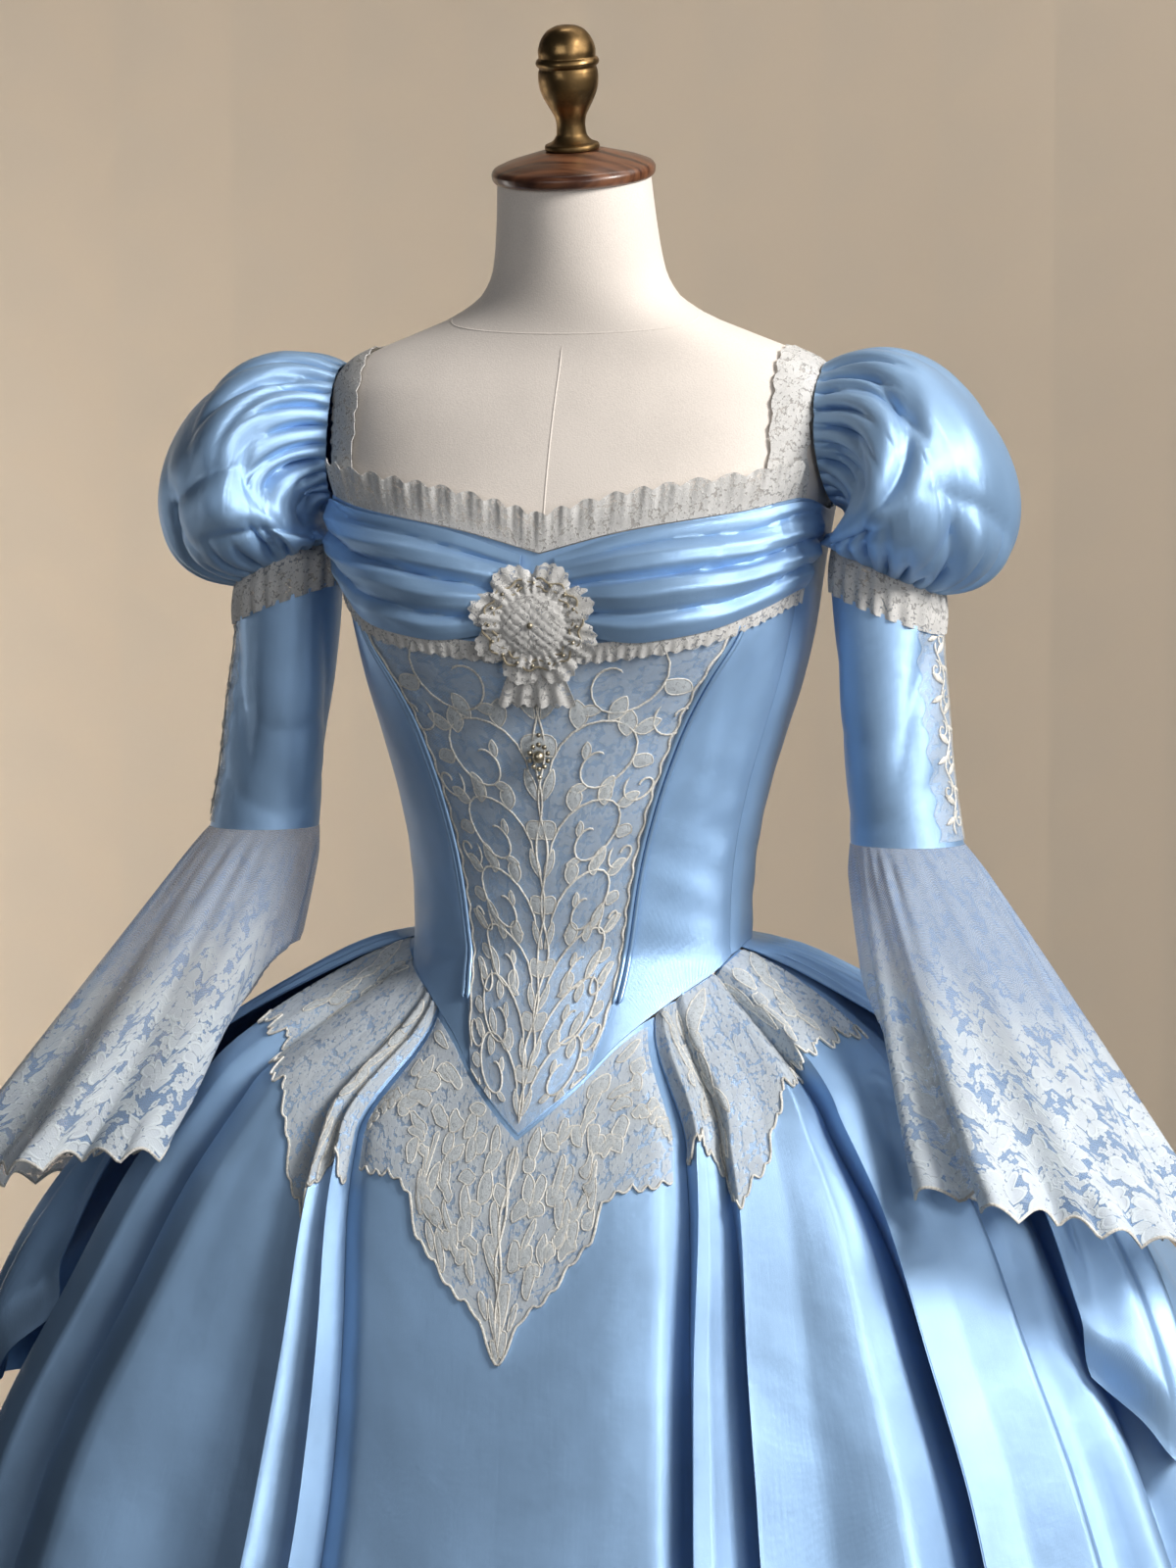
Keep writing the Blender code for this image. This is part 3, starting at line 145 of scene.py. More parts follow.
# Turned pieces: radius and height.
CAP = (
    (0, 0), (0.0515, 0), (0.0545, 0.0010), (0.0558, 0.0035), (0.0560, 0.0060), (0.0545, 0.0090),
    (0.0500, 0.0112), (0.0440, 0.0135), (0.0350, 0.0160), (0.0260, 0.0185), (0.0200, 0.0198), (0, 0.0200),
)
SPIRE = (
    (0, 0), (0.0180, 0), (0.0187, 0.0016), (0.0183, 0.0035), (0.0145, 0.0052), (0.0122, 0.0072),
    (0.0102, 0.0110), (0.0098, 0.0165), (0.0106, 0.0215), (0.0128, 0.0265), (0.0158, 0.0320),
    (0.0182, 0.0370), (0.0200, 0.0430), (0.0205, 0.0490), (0.0201, 0.0530), (0.0194, 0.0556),
    (0.0208, 0.0570), (0.0216, 0.0590), (0.0208, 0.0612), (0.0194, 0.0626), (0.0196, 0.0660),
    (0.0186, 0.0710), (0.0160, 0.0765), (0.0110, 0.0815), (0.0050, 0.0836), (0, 0.0840),
)
FOOT = (
    (0, 0), (FOOT_RADIUS - 0.001, 0), (FOOT_RADIUS, 0.0015), (FOOT_RADIUS, 0.0095),
    (FOOT_RADIUS - 0.0030, 0.0130), (FOOT_RADIUS - 0.0120, 0.0165), (FOOT_RADIUS - 0.0300, 0.0190),
    (0.100, 0.0215), (0.055, FOOT_HEIGHT - 0.006), (0.038, FOOT_HEIGHT - 0.0020), (0.030, FOOT_HEIGHT),
    (0, FOOT_HEIGHT),
)

# Outside of the bodice from the waist up, and the bare form above it: half width, depths, centre line and
# how much fuller than an ellipse the section is at its corners.
FIGURE = table(
    "z half_width front back middle square",
    (
        (1.045, 0.1192, 0.0960, 0.0905, 0.000, 0.000),
        (1.070, 0.1195, 0.0965, 0.0900, 0.000, 0.000),
        (1.105, 0.1225, 0.0985, 0.0920, 0.000, 0.000),
        (1.145, 0.1305, 0.1030, 0.0965, 0.000, 0.000),
        (1.185, 0.1420, 0.1070, 0.1015, 0.000, 0.005),
        (1.225, 0.1545, 0.1100, 0.1045, 0.000, 0.010),
        (1.265, 0.1635, 0.1105, 0.1065, 0.000, 0.020),
        (1.300, 0.1685, 0.1070, 0.1075, 0.000, 0.045),
        (1.335, 0.1735, 0.1000, 0.1065, 0.000, 0.080),
        (1.365, 0.1770, 0.0910, 0.1035, 0.000, 0.100),
        (1.395, 0.1790, 0.0800, 0.0975, 0.000, 0.100),
        (1.420, 0.1785, 0.0690, 0.0880, 0.000, 0.100),
        (1.438, 0.1705, 0.0600, 0.0785, 0.000, 0.080),
        (1.450, 0.1500, 0.0550, 0.0710, -0.001, 0.050),
        (1.462, 0.1200, 0.0525, 0.0645, -0.002, 0.020),
        (1.474, 0.0910, 0.0515, 0.0600, -0.004, 0.000),
        (1.488, 0.0710, 0.0510, 0.0565, -0.007, 0.000),
        (1.505, 0.0625, 0.0510, 0.0540, -0.010, 0.000),
        (1.535, 0.0580, 0.0510, 0.0525, -0.016, 0.000),
        (1.565, 0.0555, 0.0510, 0.0510, -0.022, 0.000),
    ),
)
# Outside of the bodice below the waist, where its point lies over the belly.
POINT = table(
    "z half_width front back",
    (
        (0.920, 0.1580, 0.1600, 0.1300),
        (0.950, 0.1500, 0.1470, 0.1200),
        (0.980, 0.1400, 0.1300, 0.1100),
        (1.010, 0.1300, 0.1130, 0.1000),
        (1.030, 0.1230, 0.1020, 0.0940),
    ),
)
# The form's hips, inside the skirt.
HIPS = table(
    "z half_width front back",
    (
        (0.900, 0.1540, 0.1060, 0.1180),
        (0.930, 0.1550, 0.1070, 0.1200),
        (0.965, 0.1480, 0.1050, 0.1140),
        (1.000, 0.1340, 0.1010, 0.1030),
        (1.025, 0.1235, 0.0975, 0.0945),
    ),
)
# The skirt's sections, without its folds.
SKIRT = table(
    "z half_width front back",
    (
        (0.000, 0.6250, 0.4280, 0.7000),
        (0.350, 0.5600, 0.3350, 0.5750),
        (0.550, 0.5050, 0.2760, 0.4950),
        (0.700, 0.4500, 0.2310, 0.4250),
        (0.800, 0.3960, 0.2020, 0.3750),
        (0.880, 0.3500, 0.1780, 0.3250),
        (0.950, 0.2900, 0.1500, 0.2650),
        (0.980, 0.2630, 0.1330, 0.2330),
        (1.007, 0.2380, 0.1160, 0.1960),
        (1.028, 0.2110, 0.1050, 0.1530),
        (1.040, 0.1830, 0.0990, 0.1300),
        (1.047, 0.1520, 0.0970, 0.1120),
        (1.053, 0.1205, 0.0960, 0.0912),
    ),
)
# Edges of the bodice by the angle from the centre front: waist seam, neckline, underside of the bust drape.
WAISTLINE = table(
    "angle z",
    (
        (0, 0.9290),
        (15, 0.9640),
        (26, 0.9900),
        (44, 1.0150),
        (60, 1.0285),
        (75, 1.0400),
        (95, 1.0460),
        (180, 1.0480),
    ),
)
NECKLINE = table(
    "angle z",
    ((0, 1.3130), (20, 1.3290), (45, 1.3420), (62, 1.3500), (90, 1.3420), (125, 1.3560), (180, 1.3600)),
)
DRAPE_EDGE = table(
    "angle z",
    ((0, 1.2480), (15, 1.2520), (35, 1.2620), (55, 1.2780), (74, 1.2900), (180, 1.3000)),
)
STOMACHER_FOOT = 16.5  # angle at which the stomacher's edges meet the waist seam
# Half of the stomacher as an angle, by height. It meets the waistline at its lowest row.
STOMACHER_EDGE = table(
    "z angle",
    (
        (0.968, STOMACHER_FOOT),
        (1.000, 21.5),
        (1.040, 26.5),
        (1.105, 31.0),
        (1.165, 36.0),
        (1.230, 42.0),
        (1.265, 47.0),
        (1.345, 52.0),
    ),
)
SIDE_SEAM, BACK_SEAM, DRAPE_END = 72.0, 128.0, 74.0
BODICE_SEAMS = (STOMACHER_FOOT, SIDE_SEAM, BACK_SEAM, 180.0)
STRAP_INNER, STRAP_OUTER = 0.1480, 0.1700  # X of the straps' edges on the shoulder
STRAP_CLEARANCE = 0.0012  # from the form's shoulder
STRAP_TAPER = 0.0040  # their outer edges come in by this much at the neckline
# The sleeve from the lace band's top down to the flounce: centre, radius and how far the outer side drops.
SLEEVE = table(
    "z x y radius drop",
    (
        (1.1160, 0.2315, -0.010, 0.0385, 0.000),
        (1.1600, 0.2260, -0.008, 0.0370, 0.002),
        (1.2200, 0.2190, -0.005, 0.0380, 0.006),
        (1.2750, 0.2150, -0.002, 0.0380, 0.015),
        (1.3010, 0.2155, 0.000, 0.0375, 0.017),
    ),
)
BAND_TOP, BAND_LOW, CUFF = 1.3010, 1.2750, 1.1160
ARMHOLE_X, ARMHOLE_Z = 0.1758, 1.3925
ARMHOLE_HEIGHT, ARMHOLE_DEPTH = 0.0485, 0.0420  # its half height and half depth
ARMHOLE_LEAN = 0.0035  # its top, front and back lie this much nearer the neck
FLOUNCE_CENTRE = (0.338, -0.062, 0.884)  # of the left hem, mirrored for the right
FLOUNCE_RADIUS = 0.104
TRACK_ROWS = (0.0, 0.090, 0.350, 1.0)  # where the fold tables give a fold's angle and how far it is set in
# Folds from the front seam to the side, for each side: angles (degrees) and set in (mm) at the waist, high
# hip, thigh and hem. Negative means that the fold stands out.
LEVELS = ("waist", "hip", "thigh", "hem")
FOLD_COLUMNS = "waist hip thigh hem waist_in hip_in thigh_in hem_in"
LEFT_FOLDS = table(
    FOLD_COLUMNS,
    (
        (36.0, 20.8, 17.2, 16.6, 5, 16, 30, 34),
        (39.0, 22.4, 17.6, 16.6, 0, 0, -2, -2),
        (41.0, 23.6, 19.2, 18.4, 1, 2, 2, 2),
        (43.5, 26.0, 23.4, 23.4, 4, 14, 30, 34),
        (46.0, 27.2, 23.2, 22.8, 0, -1, -3, -3),
        (53.0, 32.5, 29.5, 29.5, 1, 2, 5, 2),
        (59.0, 38.2, 36.6, 37.2, 0, -2, -4, -4),
        (62.0, 43.6, 47.5, 49.5, 6, 24, 56, 62),
        (65.0, 44.4, 43.4, 45.0, 0, -2, -4, -4),
        (72.0, 51.0, 49.0, 50.5, 1, 2, 4, 2),
        (78.0, 59.0, 55.6, 57.0, 0, -3, -6, -6),
        (81.0, 63.0, 59.6, 61.5, 5, 18, 36, 42),
    ),
)
RIGHT_FOLDS = table(
    FOLD_COLUMNS,
    (
        (36.0, 22.0, 14.6, 13.8, 4, 10, 16, 18),
        (38.0, 23.6, 16.4, 15.6, 0, -1, -3, -3),
        (40.0, 24.2, 17.2, 16.4, 3, 10, 22, 26),
        (42.0, 26.4, 20.9, 20.4, 0, -1, -4, -4),
        (44.5, 27.4, 21.2, 20.8, 3, 10, 26, 32),
        (47.5, 31.2, 26.2, 27.0, 0, 3, 24, 10),
        (55.0, 38.5, 41.5, 41.5, 0, -6, -16, -12),
        (62.0, 45.5, 48.8, 49.0, 1, 3, 8, 6),
        (65.0, 47.0, 47.6, 47.6, 4, 18, 48, 56),
        (69.0, 52.5, 55.0, 56.0, 0, -3, -6, -6),
        (78.0, 59.5, 60.5, 61.5, 0, -2, -5, -5),
        (81.0, 63.0, 63.4, 64.5, 5, 18, 34, 40),
    ),
)
FOLDS = {LEFT: LEFT_FOLDS, RIGHT: RIGHT_FOLDS}
PANEL_ROWS, FRONT_EACH = 104, 8  # rows of the front and side panels, and columns between the front's own
CRISP = 0.55  # share of straight lines between the rows of the fold tables, for the pleats' sharp edges
BACK_FOLDS = 7  # folds of each underskirt half, from the side to the centre back
SWAG_ROOM = 0.020  # how far the swag stands out over the hip, below the flounces
UNDER_SET_IN = 0.018  # how far the underskirt lies inside the overskirt
# The swag's lower edge, by how far round it goes from the front edge (0) to the centre back (1).
SWAG = table(
    "round angle_waist angle_low z_low puff",
    (
        (0.00, 81.0, 68.0, 0.770, 0.000),
        (0.12, 87.0, 76.0, 0.715, 0.016),
        (0.28, 97.0, 90.0, 0.700, 0.028),
        (0.50, 120.0, 116.0, 0.660, 0.032),
        (0.75, 150.0, 148.0, 0.600, 0.032),
        (1.00, 180.0, 180.0, 0.560, 0.020),
    ),
)
# Columns of the front panel: their angles at the waist, which the bodice shares, and from a hand's breadth
# below it their share of the panel's width. The edges are tucked in, and the cloth has soft waves (mm).
FRONT = table(
    "top share edge wave",
    (
        (-36.000, 0.00, 1.0, 0.0),
        (-30.375, 0.10, 0.1, 0.0),
        (-16.500, 0.24, 0.0, 4.0),
        (-8.250, 0.37, 0.0, 0.8),
        (0.000, 0.50, 0.0, 3.6),
        (8.250, 0.63, 0.0, 0.0),
        (16.500, 0.76, 0.0, 3.2),
        (30.375, 0.90, 0.0, 0.0),
        (36.000, 1.00, 0.0, 0.0),
    ),
)
PEPLUM_TOP, HIP_LACE_TOP = 0.0040, 0.0008  # where the point and the hip lace begin (0 waist, 1 hem)

# ---------------------------------------------------------------- curves and surfaces


def through(knots, values, at):
    """Smooth curve through the values at the knots, with no overshoot: a cubic on each stretch, level at
    a knot where the curve turns back, held at its end values beyond the ends. Values may have more axes."""
    knots, values = np.asarray(knots, float), np.asarray(values, float)
    more = (1,) * (values.ndim - 1)
    gaps = np.diff(knots)
    step = gaps.reshape(-1, *more)
    rise = np.diff(values, axis=0) / step
    slope = np.concatenate([rise[:1], np.zeros_like(rise[1:]), rise[-1:]])
    same = rise[1:] * rise[:-1] > 0
    total = np.where(same, rise[1:] + rise[:-1], 1.0)
    slope[1:-1] = np.where(same, 2 * rise[1:] * rise[:-1] / total, 0.0)
    at = np.clip(np.asarray(at, float), knots[0], knots[-1])
    k = np.clip(np.searchsorted(knots, at, side="right") - 1, 0, len(gaps) - 1)
    t = ((at - knots[k]) / gaps[k]).reshape(at.shape + more)
    step, rest = step[k], 1 - t
    return (
        values[k] * (1 + 2 * t) * rest**2
        + values[k + 1] * (3 - 2 * t) * t**2
        + step * (slope[k] * t * rest**2 - slope[k + 1] * rest * t**2)
    )


def ease(x, start, end):
    """0 before start, 1 after end, with level ends between."""
    t = np.clip((np.asarray(x, float) - start) / (end - start), 0, 1)
    return t * t * (3 - 2 * t)


def column(rows, name, at, key="z"):
    """A table's column as a smooth curve over its key column."""
    return through(rows[key], rows[name], at)


def by_angle(rows, angle):
    """Height of an edge at an angle in degrees, the same on both sides."""
    return through(rows["angle"], rows["z"], np.abs(angle))


def waist_at(angle):
    """Height of the waist seam."""
    return by_angle(WAISTLINE, angle)


def join_rows(lower, upper, names):
    """One table from two, the lower rows first."""
    return {name: np.concatenate([lower.get(name, 0 * lower["z"]), upper[name]]) for name in names}


TORSO_COLUMNS = ("z", "half_width", "front", "back", "middle", "square")
BODICE = join_rows(POINT, FIGURE, TORSO_COLUMNS)
FORM = join_rows(HIPS, FIGURE, TORSO_COLUMNS)


def oval(rows, angle, z, out=0.0):
    """Point at an angle (degrees from the front, towards the wearer's left) of a section at a height."""
    turn = np.radians(angle)
    width = column(rows, "half_width", z) + out
    depth = np.where(np.cos(turn) > 0, column(rows, "front", z), column(rows, "back", z)) + out
    middle = column(rows, "middle", z) if "middle" in rows else 0.0
    full = 1 + (column(rows, "square", z) if "square" in rows else 0.0) * np.sin(2 * turn) ** 2
    return np.stack([width * full * np.sin(turn), middle - depth * full * np.cos(turn), z + 0.0 * turn], -1)


def cups(angle, z, height):
    """Push outwards, level with the floor, that makes the two cups."""
    away = (np.abs(angle) - BUST_ANGLE) / BUST_WIDTH
    rise = (z - BUST_HEIGHT) / BUST_RISE
    turn = np.radians(angle)
    push = height * np.exp(-(away**2) - rise**2)
    return push[..., None] * np.stack([np.sin(turn), -np.cos(turn), 0 * turn], -1)


def bodice_at(angle, z):
    """Outer face of the bodice."""
    angle, z = np.broadcast_arrays(np.asarray(angle, float), np.asarray(z, float))
    return oval(BODICE, angle, z) + cups(angle, z, BUST)


def form_at(angle, z):
    """Outer face of the dress form, its neck leaning forward."""
    angle, z = np.broadcast_arrays(np.asarray(angle, float), np.asarray(z, float))
    slack = EASE * (1 - ease(z, 1.315, 1.365))
    points = oval(FORM, angle, z, -COVER - slack) + cups(angle, z, BUST - CUP_SLACK)
    lean = np.clip((z - 1.488) / (FIGURE["z"][-1] - 1.488), 0, 1) * math.tan(math.radians(NECK_TILT))
    points[..., 2] += lean * (points[..., 1] - column(FORM, "middle", z))
    return points


def normals_of(points):
    """Unit normals of a grid of points: the cross product of its differences along and across."""
    across = np.cross(np.gradient(points, axis=0), np.gradient(points, axis=1))
    return across / np.maximum(np.linalg.norm(across, axis=-1, keepdims=True), 1e-12)


def ring_normals(points):
    """Unit normals of a grid whose first and last columns are the same line."""
    return normals_of(np.concatenate([points[-2:-1], points, points[1:2]]))[1:-1]


def surface_normals(surface, first, second, step=(0.5, 0.002)):
    """Unit normals of a surface of two values, from small steps each way."""
    one = surface(first + step[0], second) - surface(first - step[0], second)
    two = surface(first, second + step[1]) - surface(first, second - step[1])
    across = np.cross(one, two)
    return across / np.linalg.norm(across, axis=-1, keepdims=True)


def trimmed(grid, amount=SEAM_GAP / 2):
    """A grid whose first and last columns are drawn in a little, to leave the seam's gap."""
    grid = grid.copy()
    for edge, near in ((0, 1), (-1, -2)):
        away = grid[near] - grid[edge]
        grid[edge] += away * (amount / np.maximum(np.linalg.norm(away, axis=-1, keepdims=True), 1e-9))
    return grid


def facing(points, out, inside):
    """The normals, turned to point away from a point inside."""
    return out * np.sign((out * (points - np.asarray(inside))).sum())


def lengths(points):
    """Arc length along each column and across each row of a grid, each from 0, in metres."""
    along = np.linalg.norm(np.diff(points, axis=1), axis=-1)
    across = np.linalg.norm(np.diff(points, axis=0), axis=-1)
    along = np.concatenate([np.zeros((len(points), 1)), np.cumsum(along, axis=1)], 1)
    across = np.concatenate([np.zeros((1, points.shape[1])), np.cumsum(across, axis=0)], 0)
    return along, across


def rows_of(*columns):
    """Rows of a table from its columns, each an array or one value for all rows."""
    return np.stack(np.broadcast_arrays(*columns), -1)


def mixed(grid, a, b):
    """A grid's values at fractional column and row numbers, each mixed from the four around it."""
    i, j = a.astype(int), b.astype(int)
    s, t = (a - i)[..., None], (b - j)[..., None]
    low = grid[i, j] * (1 - s) + grid[i + 1, j] * s
    high = grid[i, j + 1] * (1 - s) + grid[i + 1, j + 1] * s
    return low * (1 - t) + high * t


# ---------------------------------------------------------------- meshes


def grid_faces(index):
    """Four-sided faces of a grid of vertex numbers."""
    return np.stack([index[:-1, :-1], index[1:, :-1], index[1:, 1:], index[:-1, 1:]], -1).reshape(-1, 4)


def on_cloth(points, measured=None):
    """Places of a grid's points on the cloth: metres across, from a middle row or the one given, and metres
    down, along each column."""
    along, across = lengths(points)
    count = points.shape[1]
    row = count // 2 if measured is None else measured
    return np.stack([np.repeat(across[:, row : row + 1], count, axis=1), along], -1)


def wall(outer, inner, ring=False, uv=None):
    """A closed wall between two grids, as points, faces and the faces' corners on the cloth. In a ring the
    first and last columns are one line."""
    columns, rows = outer.shape[:2]
    count = columns - 1 if ring else columns
    index = np.arange(count * rows).reshape(count, rows)
    if ring:
        index = np.concatenate([index, index[:1]])
    under = index + count * rows
    spot = np.arange(columns * rows).reshape(columns, rows)
    flat = (on_cloth(outer) if uv is None else uv).reshape(-1, 2)
    pairs = [(index, spot), (under[:, ::-1], spot[:, ::-1])]
    pairs += [(np.stack([index[:, 0], under[:, 0]]), np.stack([spot[:, 0]] * 2))]
    pairs += [(np.stack([under[:, -1], index[:, -1]]), np.stack([spot[:, -1]] * 2))]
    if not ring:
        pairs += [(np.stack([under[0], index[0]]), np.stack([spot[0]] * 2))]
        pairs += [(np.stack([index[-1], under[-1]]), np.stack([spot[-1]] * 2))]
    points = np.concatenate([outer[:count].reshape(-1, 3), inner[:count].reshape(-1, 3)])
    faces = np.concatenate([grid_faces(numbers) for numbers, _ in pairs])
    return points, faces, np.concatenate([flat[grid_faces(places)] for _, places in pairs])


def capped(points, uv):
    """A tube of points, its first column repeated last, closed at both ends by a flat of four-sided faces."""
    count, rows = points.shape[0] - 1, points.shape[1]
    index = np.arange(count * rows).reshape(count, rows)
    index = np.concatenate([index, index[:1]])
    spot = np.arange((count + 1) * rows).reshape(count + 1, rows)
    faces, corners = [grid_faces(index)], [uv.reshape(-1, 2)[grid_faces(spot)]]
    half = count // 2
    for ring in (index[:-1, 0][::-1], index[:-1, -1]):
        left, right = ring[:half], ring[half:][::-1]
        faces.append(np.stack([left[:-1], left[1:], right[1:], right[:-1]], -1))
        corners.append(np.zeros((half - 1, 4, 2)))
    return points[:-1].reshape(-1, 3), np.concatenate(faces), np.concatenate(corners)


def turned_shape(profile, segments, centre=(0.0, 0.0, 0.0), tilt=0.0):
    """A turned shape: radius and height pairs carried round an axis that leans forward by tilt. The ends are
    closed by a disc a hair wide."""
    profile = np.asarray(profile, float)
    profile[[0, -1], 0] = 2e-5
    turn = np.linspace(0, 2 * math.pi, segments + 1)[:, None]
    radius, height = profile[:, 0][None], profile[:, 1][None] + 0 * turn
    cosine, sine = math.cos(tilt), math.sin(tilt)
    depth = radius * np.sin(turn)
    leant = [radius * np.cos(turn), depth * cosine - height * sine, depth * sine + height * cosine]
    points = np.stack(leant, -1) + np.asarray(centre)
    return capped(points, np.stack([turn * 0.05 + 0 * height, height], -1))


def rounded(profile, each=8):
    """A profile with smooth stretches between its points, by the curve through them along their length."""
    profile = np.asarray(profile, float)
    length = np.concatenate([[0], np.cumsum(np.linalg.norm(np.diff(profile, axis=0), axis=1))])
    at = np.concatenate([np.linspace(a, b, each, endpoint=False) for a, b in zip(length[:-1], length[1:])])
    at = np.append(at, length[-1])
    return np.stack([through(length, profile[:, 0], at), through(length, profile[:, 1], at)], -1)


def swept(paths, ups, wide, high, sides=6):
    """Round cords along many paths at once: at each point of a path an oval of the given half width and half
    height, across the path and along its up direction. Each cord's ends narrow to a hair and are closed."""
    paths, ups = np.asarray(paths, float), np.asarray(ups, float)
    along = np.gradient(paths, axis=1)
    along /= np.maximum(np.linalg.norm(along, axis=-1, keepdims=True), 1e-12)
    side = np.cross(ups, along)
    side /= np.maximum(np.linalg.norm(side, axis=-1, keepdims=True), 1e-12)
    up = np.cross(along, side)
    many, count = paths.shape[:2]
    taper = np.ones(count)
    taper[[0, -1]] = 0.05
    turn = np.arange(sides) * 2 * math.pi / sides
    wide, high = (np.broadcast_to(np.asarray(x, float), (many, count)) * taper for x in (wide, high))
    rings = (
        paths[:, :, None]
        + np.cos(turn)[None, None, :, None] * side[:, :, None] * wide[:, :, None, None]
        + np.sin(turn)[None, None, :, None] * up[:, :, None] * high[:, :, None, None]
    )
    index = np.arange(many * count * sides).reshape(many, count, sides)
    around = np.concatenate([index, index[..., :1]], -1)
    a, b, c, d = around[:, :-1, :-1], around[:, 1:, :-1], around[:, 1:, 1:], around[:, :-1, 1:]
    faces = [np.stack([a, b, c, d], -1).reshape(-1, 4)]
    for end, order in ((0, slice(None, None, -1)), (-1, slice(None))):
        ring = index[:, end, order]
        half = sides // 2
        left, right = ring[:, :half], ring[:, half:][:, ::-1]
        faces.append(np.stack([left[:, 1:], left[:, :-1], right[:, :-1], right[:, 1:]], -1).reshape(-1, 4))
    faces = np.concatenate(faces)[:, ::-1]
    return rings.reshape(-1, 3), faces, np.zeros((len(faces), 4, 2))


def beads(centres, radii, around=12, rows=9):
    """Small balls: for each centre a globe of rings between two hair-wide ends."""
    centres, radii = np.asarray(centres, float), np.asarray(radii, float)
    rise = (np.linspace(-1, 1, rows) * math.pi / 2 * 0.985)[:, None]
    turn = (np.arange(around) * 2 * math.pi / around)[None]
    ball = rows_of(np.cos(rise) * np.cos(turn), np.cos(rise) * np.sin(turn), np.sin(rise))
    points = centres[:, None, None] + radii[:, None, None, None] * ball[None]
    index = np.arange(len(centres) * rows * around).reshape(len(centres), rows, around)
    ring = np.concatenate([index, index[..., :1]], -1)
    quads = [ring[:, :-1, :-1], ring[:, :-1, 1:], ring[:, 1:, 1:], ring[:, 1:, :-1]]
    faces = [np.stack(quads, -1).reshape(-1, 4)]
    half = around // 2
    for cap in (index[:, 0, ::-1], index[:, -1]):
        left, right = cap[:, :half], cap[:, half:][:, ::-1]
        faces.append(np.stack([left[:, :-1], left[:, 1:], right[:, 1:], right[:, :-1]], -1).reshape(-1, 4))
    faces = np.concatenate(faces)
    return points.reshape(-1, 3), faces, np.zeros((len(faces), 4, 2))


def volume_of(points, faces):
    """Six times a closed shape's volume, from its faces' triangles: above 0 where they point outwards."""
    a, b, c, d = (points[faces[:, k]] for k in range(4))
    return np.einsum("ij,ij->i", a, np.cross(b, c)).sum() + np.einsum("ij,ij->i", a, np.cross(c, d)).sum()


def put(name, shapes, finish, *replaced):
    """One mesh object of one or more closed shapes, each turned right side out by its volume, on the frame,
    with a finish, and with the frame's nodes that it stands for."""
    slot, material = finish_of(finish)
    points, faces, corners, offset = [], [], [], 0
    for shape_points, shape_faces, shape_corners in shapes:
        if volume_of(shape_points, shape_faces) < 0:
            shape_faces, shape_corners = shape_faces[:, ::-1], shape_corners[:, ::-1]
        points.append(shape_points)
        faces.append(shape_faces + offset)
        corners.append(shape_corners)
        offset += len(shape_points)
    points, faces, corners = (np.concatenate(x) for x in (points, faces, corners))
    mesh = bpy.data.meshes.new(name)
    mesh.vertices.add(len(points))
    mesh.vertices.foreach_set("co", points.astype(np.float32).ravel())
    mesh.loops.add(faces.size)
    mesh.loops.foreach_set("vertex_index", faces.astype(np.int32).ravel())
    mesh.polygons.add(len(faces))
    mesh.polygons.foreach_set("loop_start", np.arange(len(faces), dtype=np.int32) * 4)
    layer = mesh.uv_layers.new(name="cloth")
    layer.data.foreach_set("uv", corners.astype(np.float32).ravel())
    mesh.update(calc_edges=True)
    if mesh.validate():
        print(f"{name}: the mesh had faces that were mended")
    mesh.shade_smooth()
    mesh.set_sharp_from_angle(angle=math.radians(60))
    mesh.materials.append(material)
    piece = bpy.data.objects.new(name, mesh)
    bpy.context.scene.collection.objects.link(piece)
    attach(piece, "root")
    if replaced:
        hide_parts(*replaced)
    return piece


# ---------------------------------------------------------------- lace drawn on a panel

SCROLL_IN = 0.86  # share of a scroll's radius that is gone at its eye
SCROLL_TURNS = 1.35  # of a large scroll


class Panelwork:
    """A panel's grid of points as somewhere to lay lace: metres from its middle line and from its first row
    are turned into places on the grid, and lifted along the normals."""

    def __init__(self, points, inside):
        """Keeps the grid, its normals, which point away from a point inside, and its lengths."""
        self.points = points
        self.out = facing(points, normals_of(points), inside)
        along, across = lengths(points)
        self.down = along[len(points) // 2]
        self.widths = across[-1]
        self.reach_x = across[:, -1] - across[-1, -1] / 2
        self.reach_y = along[:, -1]

    def hem(self):
        """Places across, in order, and how far down the piece's edge is at each."""
        order = np.argsort(self.reach_x)
        return self.reach_x[order], self.reach_y[order]

    def at(self, x, y, lift):
        """Points over the panel, x metres aside, y metres down and lift off it, and the normals there."""
        columns, rows = self.points.shape[:2]
        b = np.interp(y, self.down, np.arange(rows))
        width = np.interp(b, np.arange(rows), self.widths)
        a = np.clip((0.5 + x / width) * (columns - 1), 0, columns - 1.001)
        b = np.clip(b, 0, rows - 1.001)
        out = mixed(self.out, a, b)
        out /= np.linalg.norm(out, axis=-1, keepdims=True)
        return mixed(self.points, a, b) + out * np.asarray(lift)[..., None], out


def spirals(rows, count=27):
    """Scrolls on the flat: from each row's centre, radius, start, turns and side a curve whose radius falls
    evenly with its turn by SCROLL_IN. Side -1 curls the other way."""
    x, y, radius, start, turns, side = (np.asarray(rows, float).T)[:, :, None]
    t = np.linspace(0, 1, count)[None]
    turn = start + side * turns * 2 * math.pi * t
    r = radius * (1 - SCROLL_IN * t)
    return x + r * np.cos(turn), y + r * np.sin(turn)


def leant(x, y, along, side, lean):
    """Places on the flat from lengths along and to the side of a line that starts at x, y and leans."""
    across = x + along * np.cos(lean) - side * np.sin(lean)
    return across, y + along * np.sin(lean) + side * np.cos(lean)


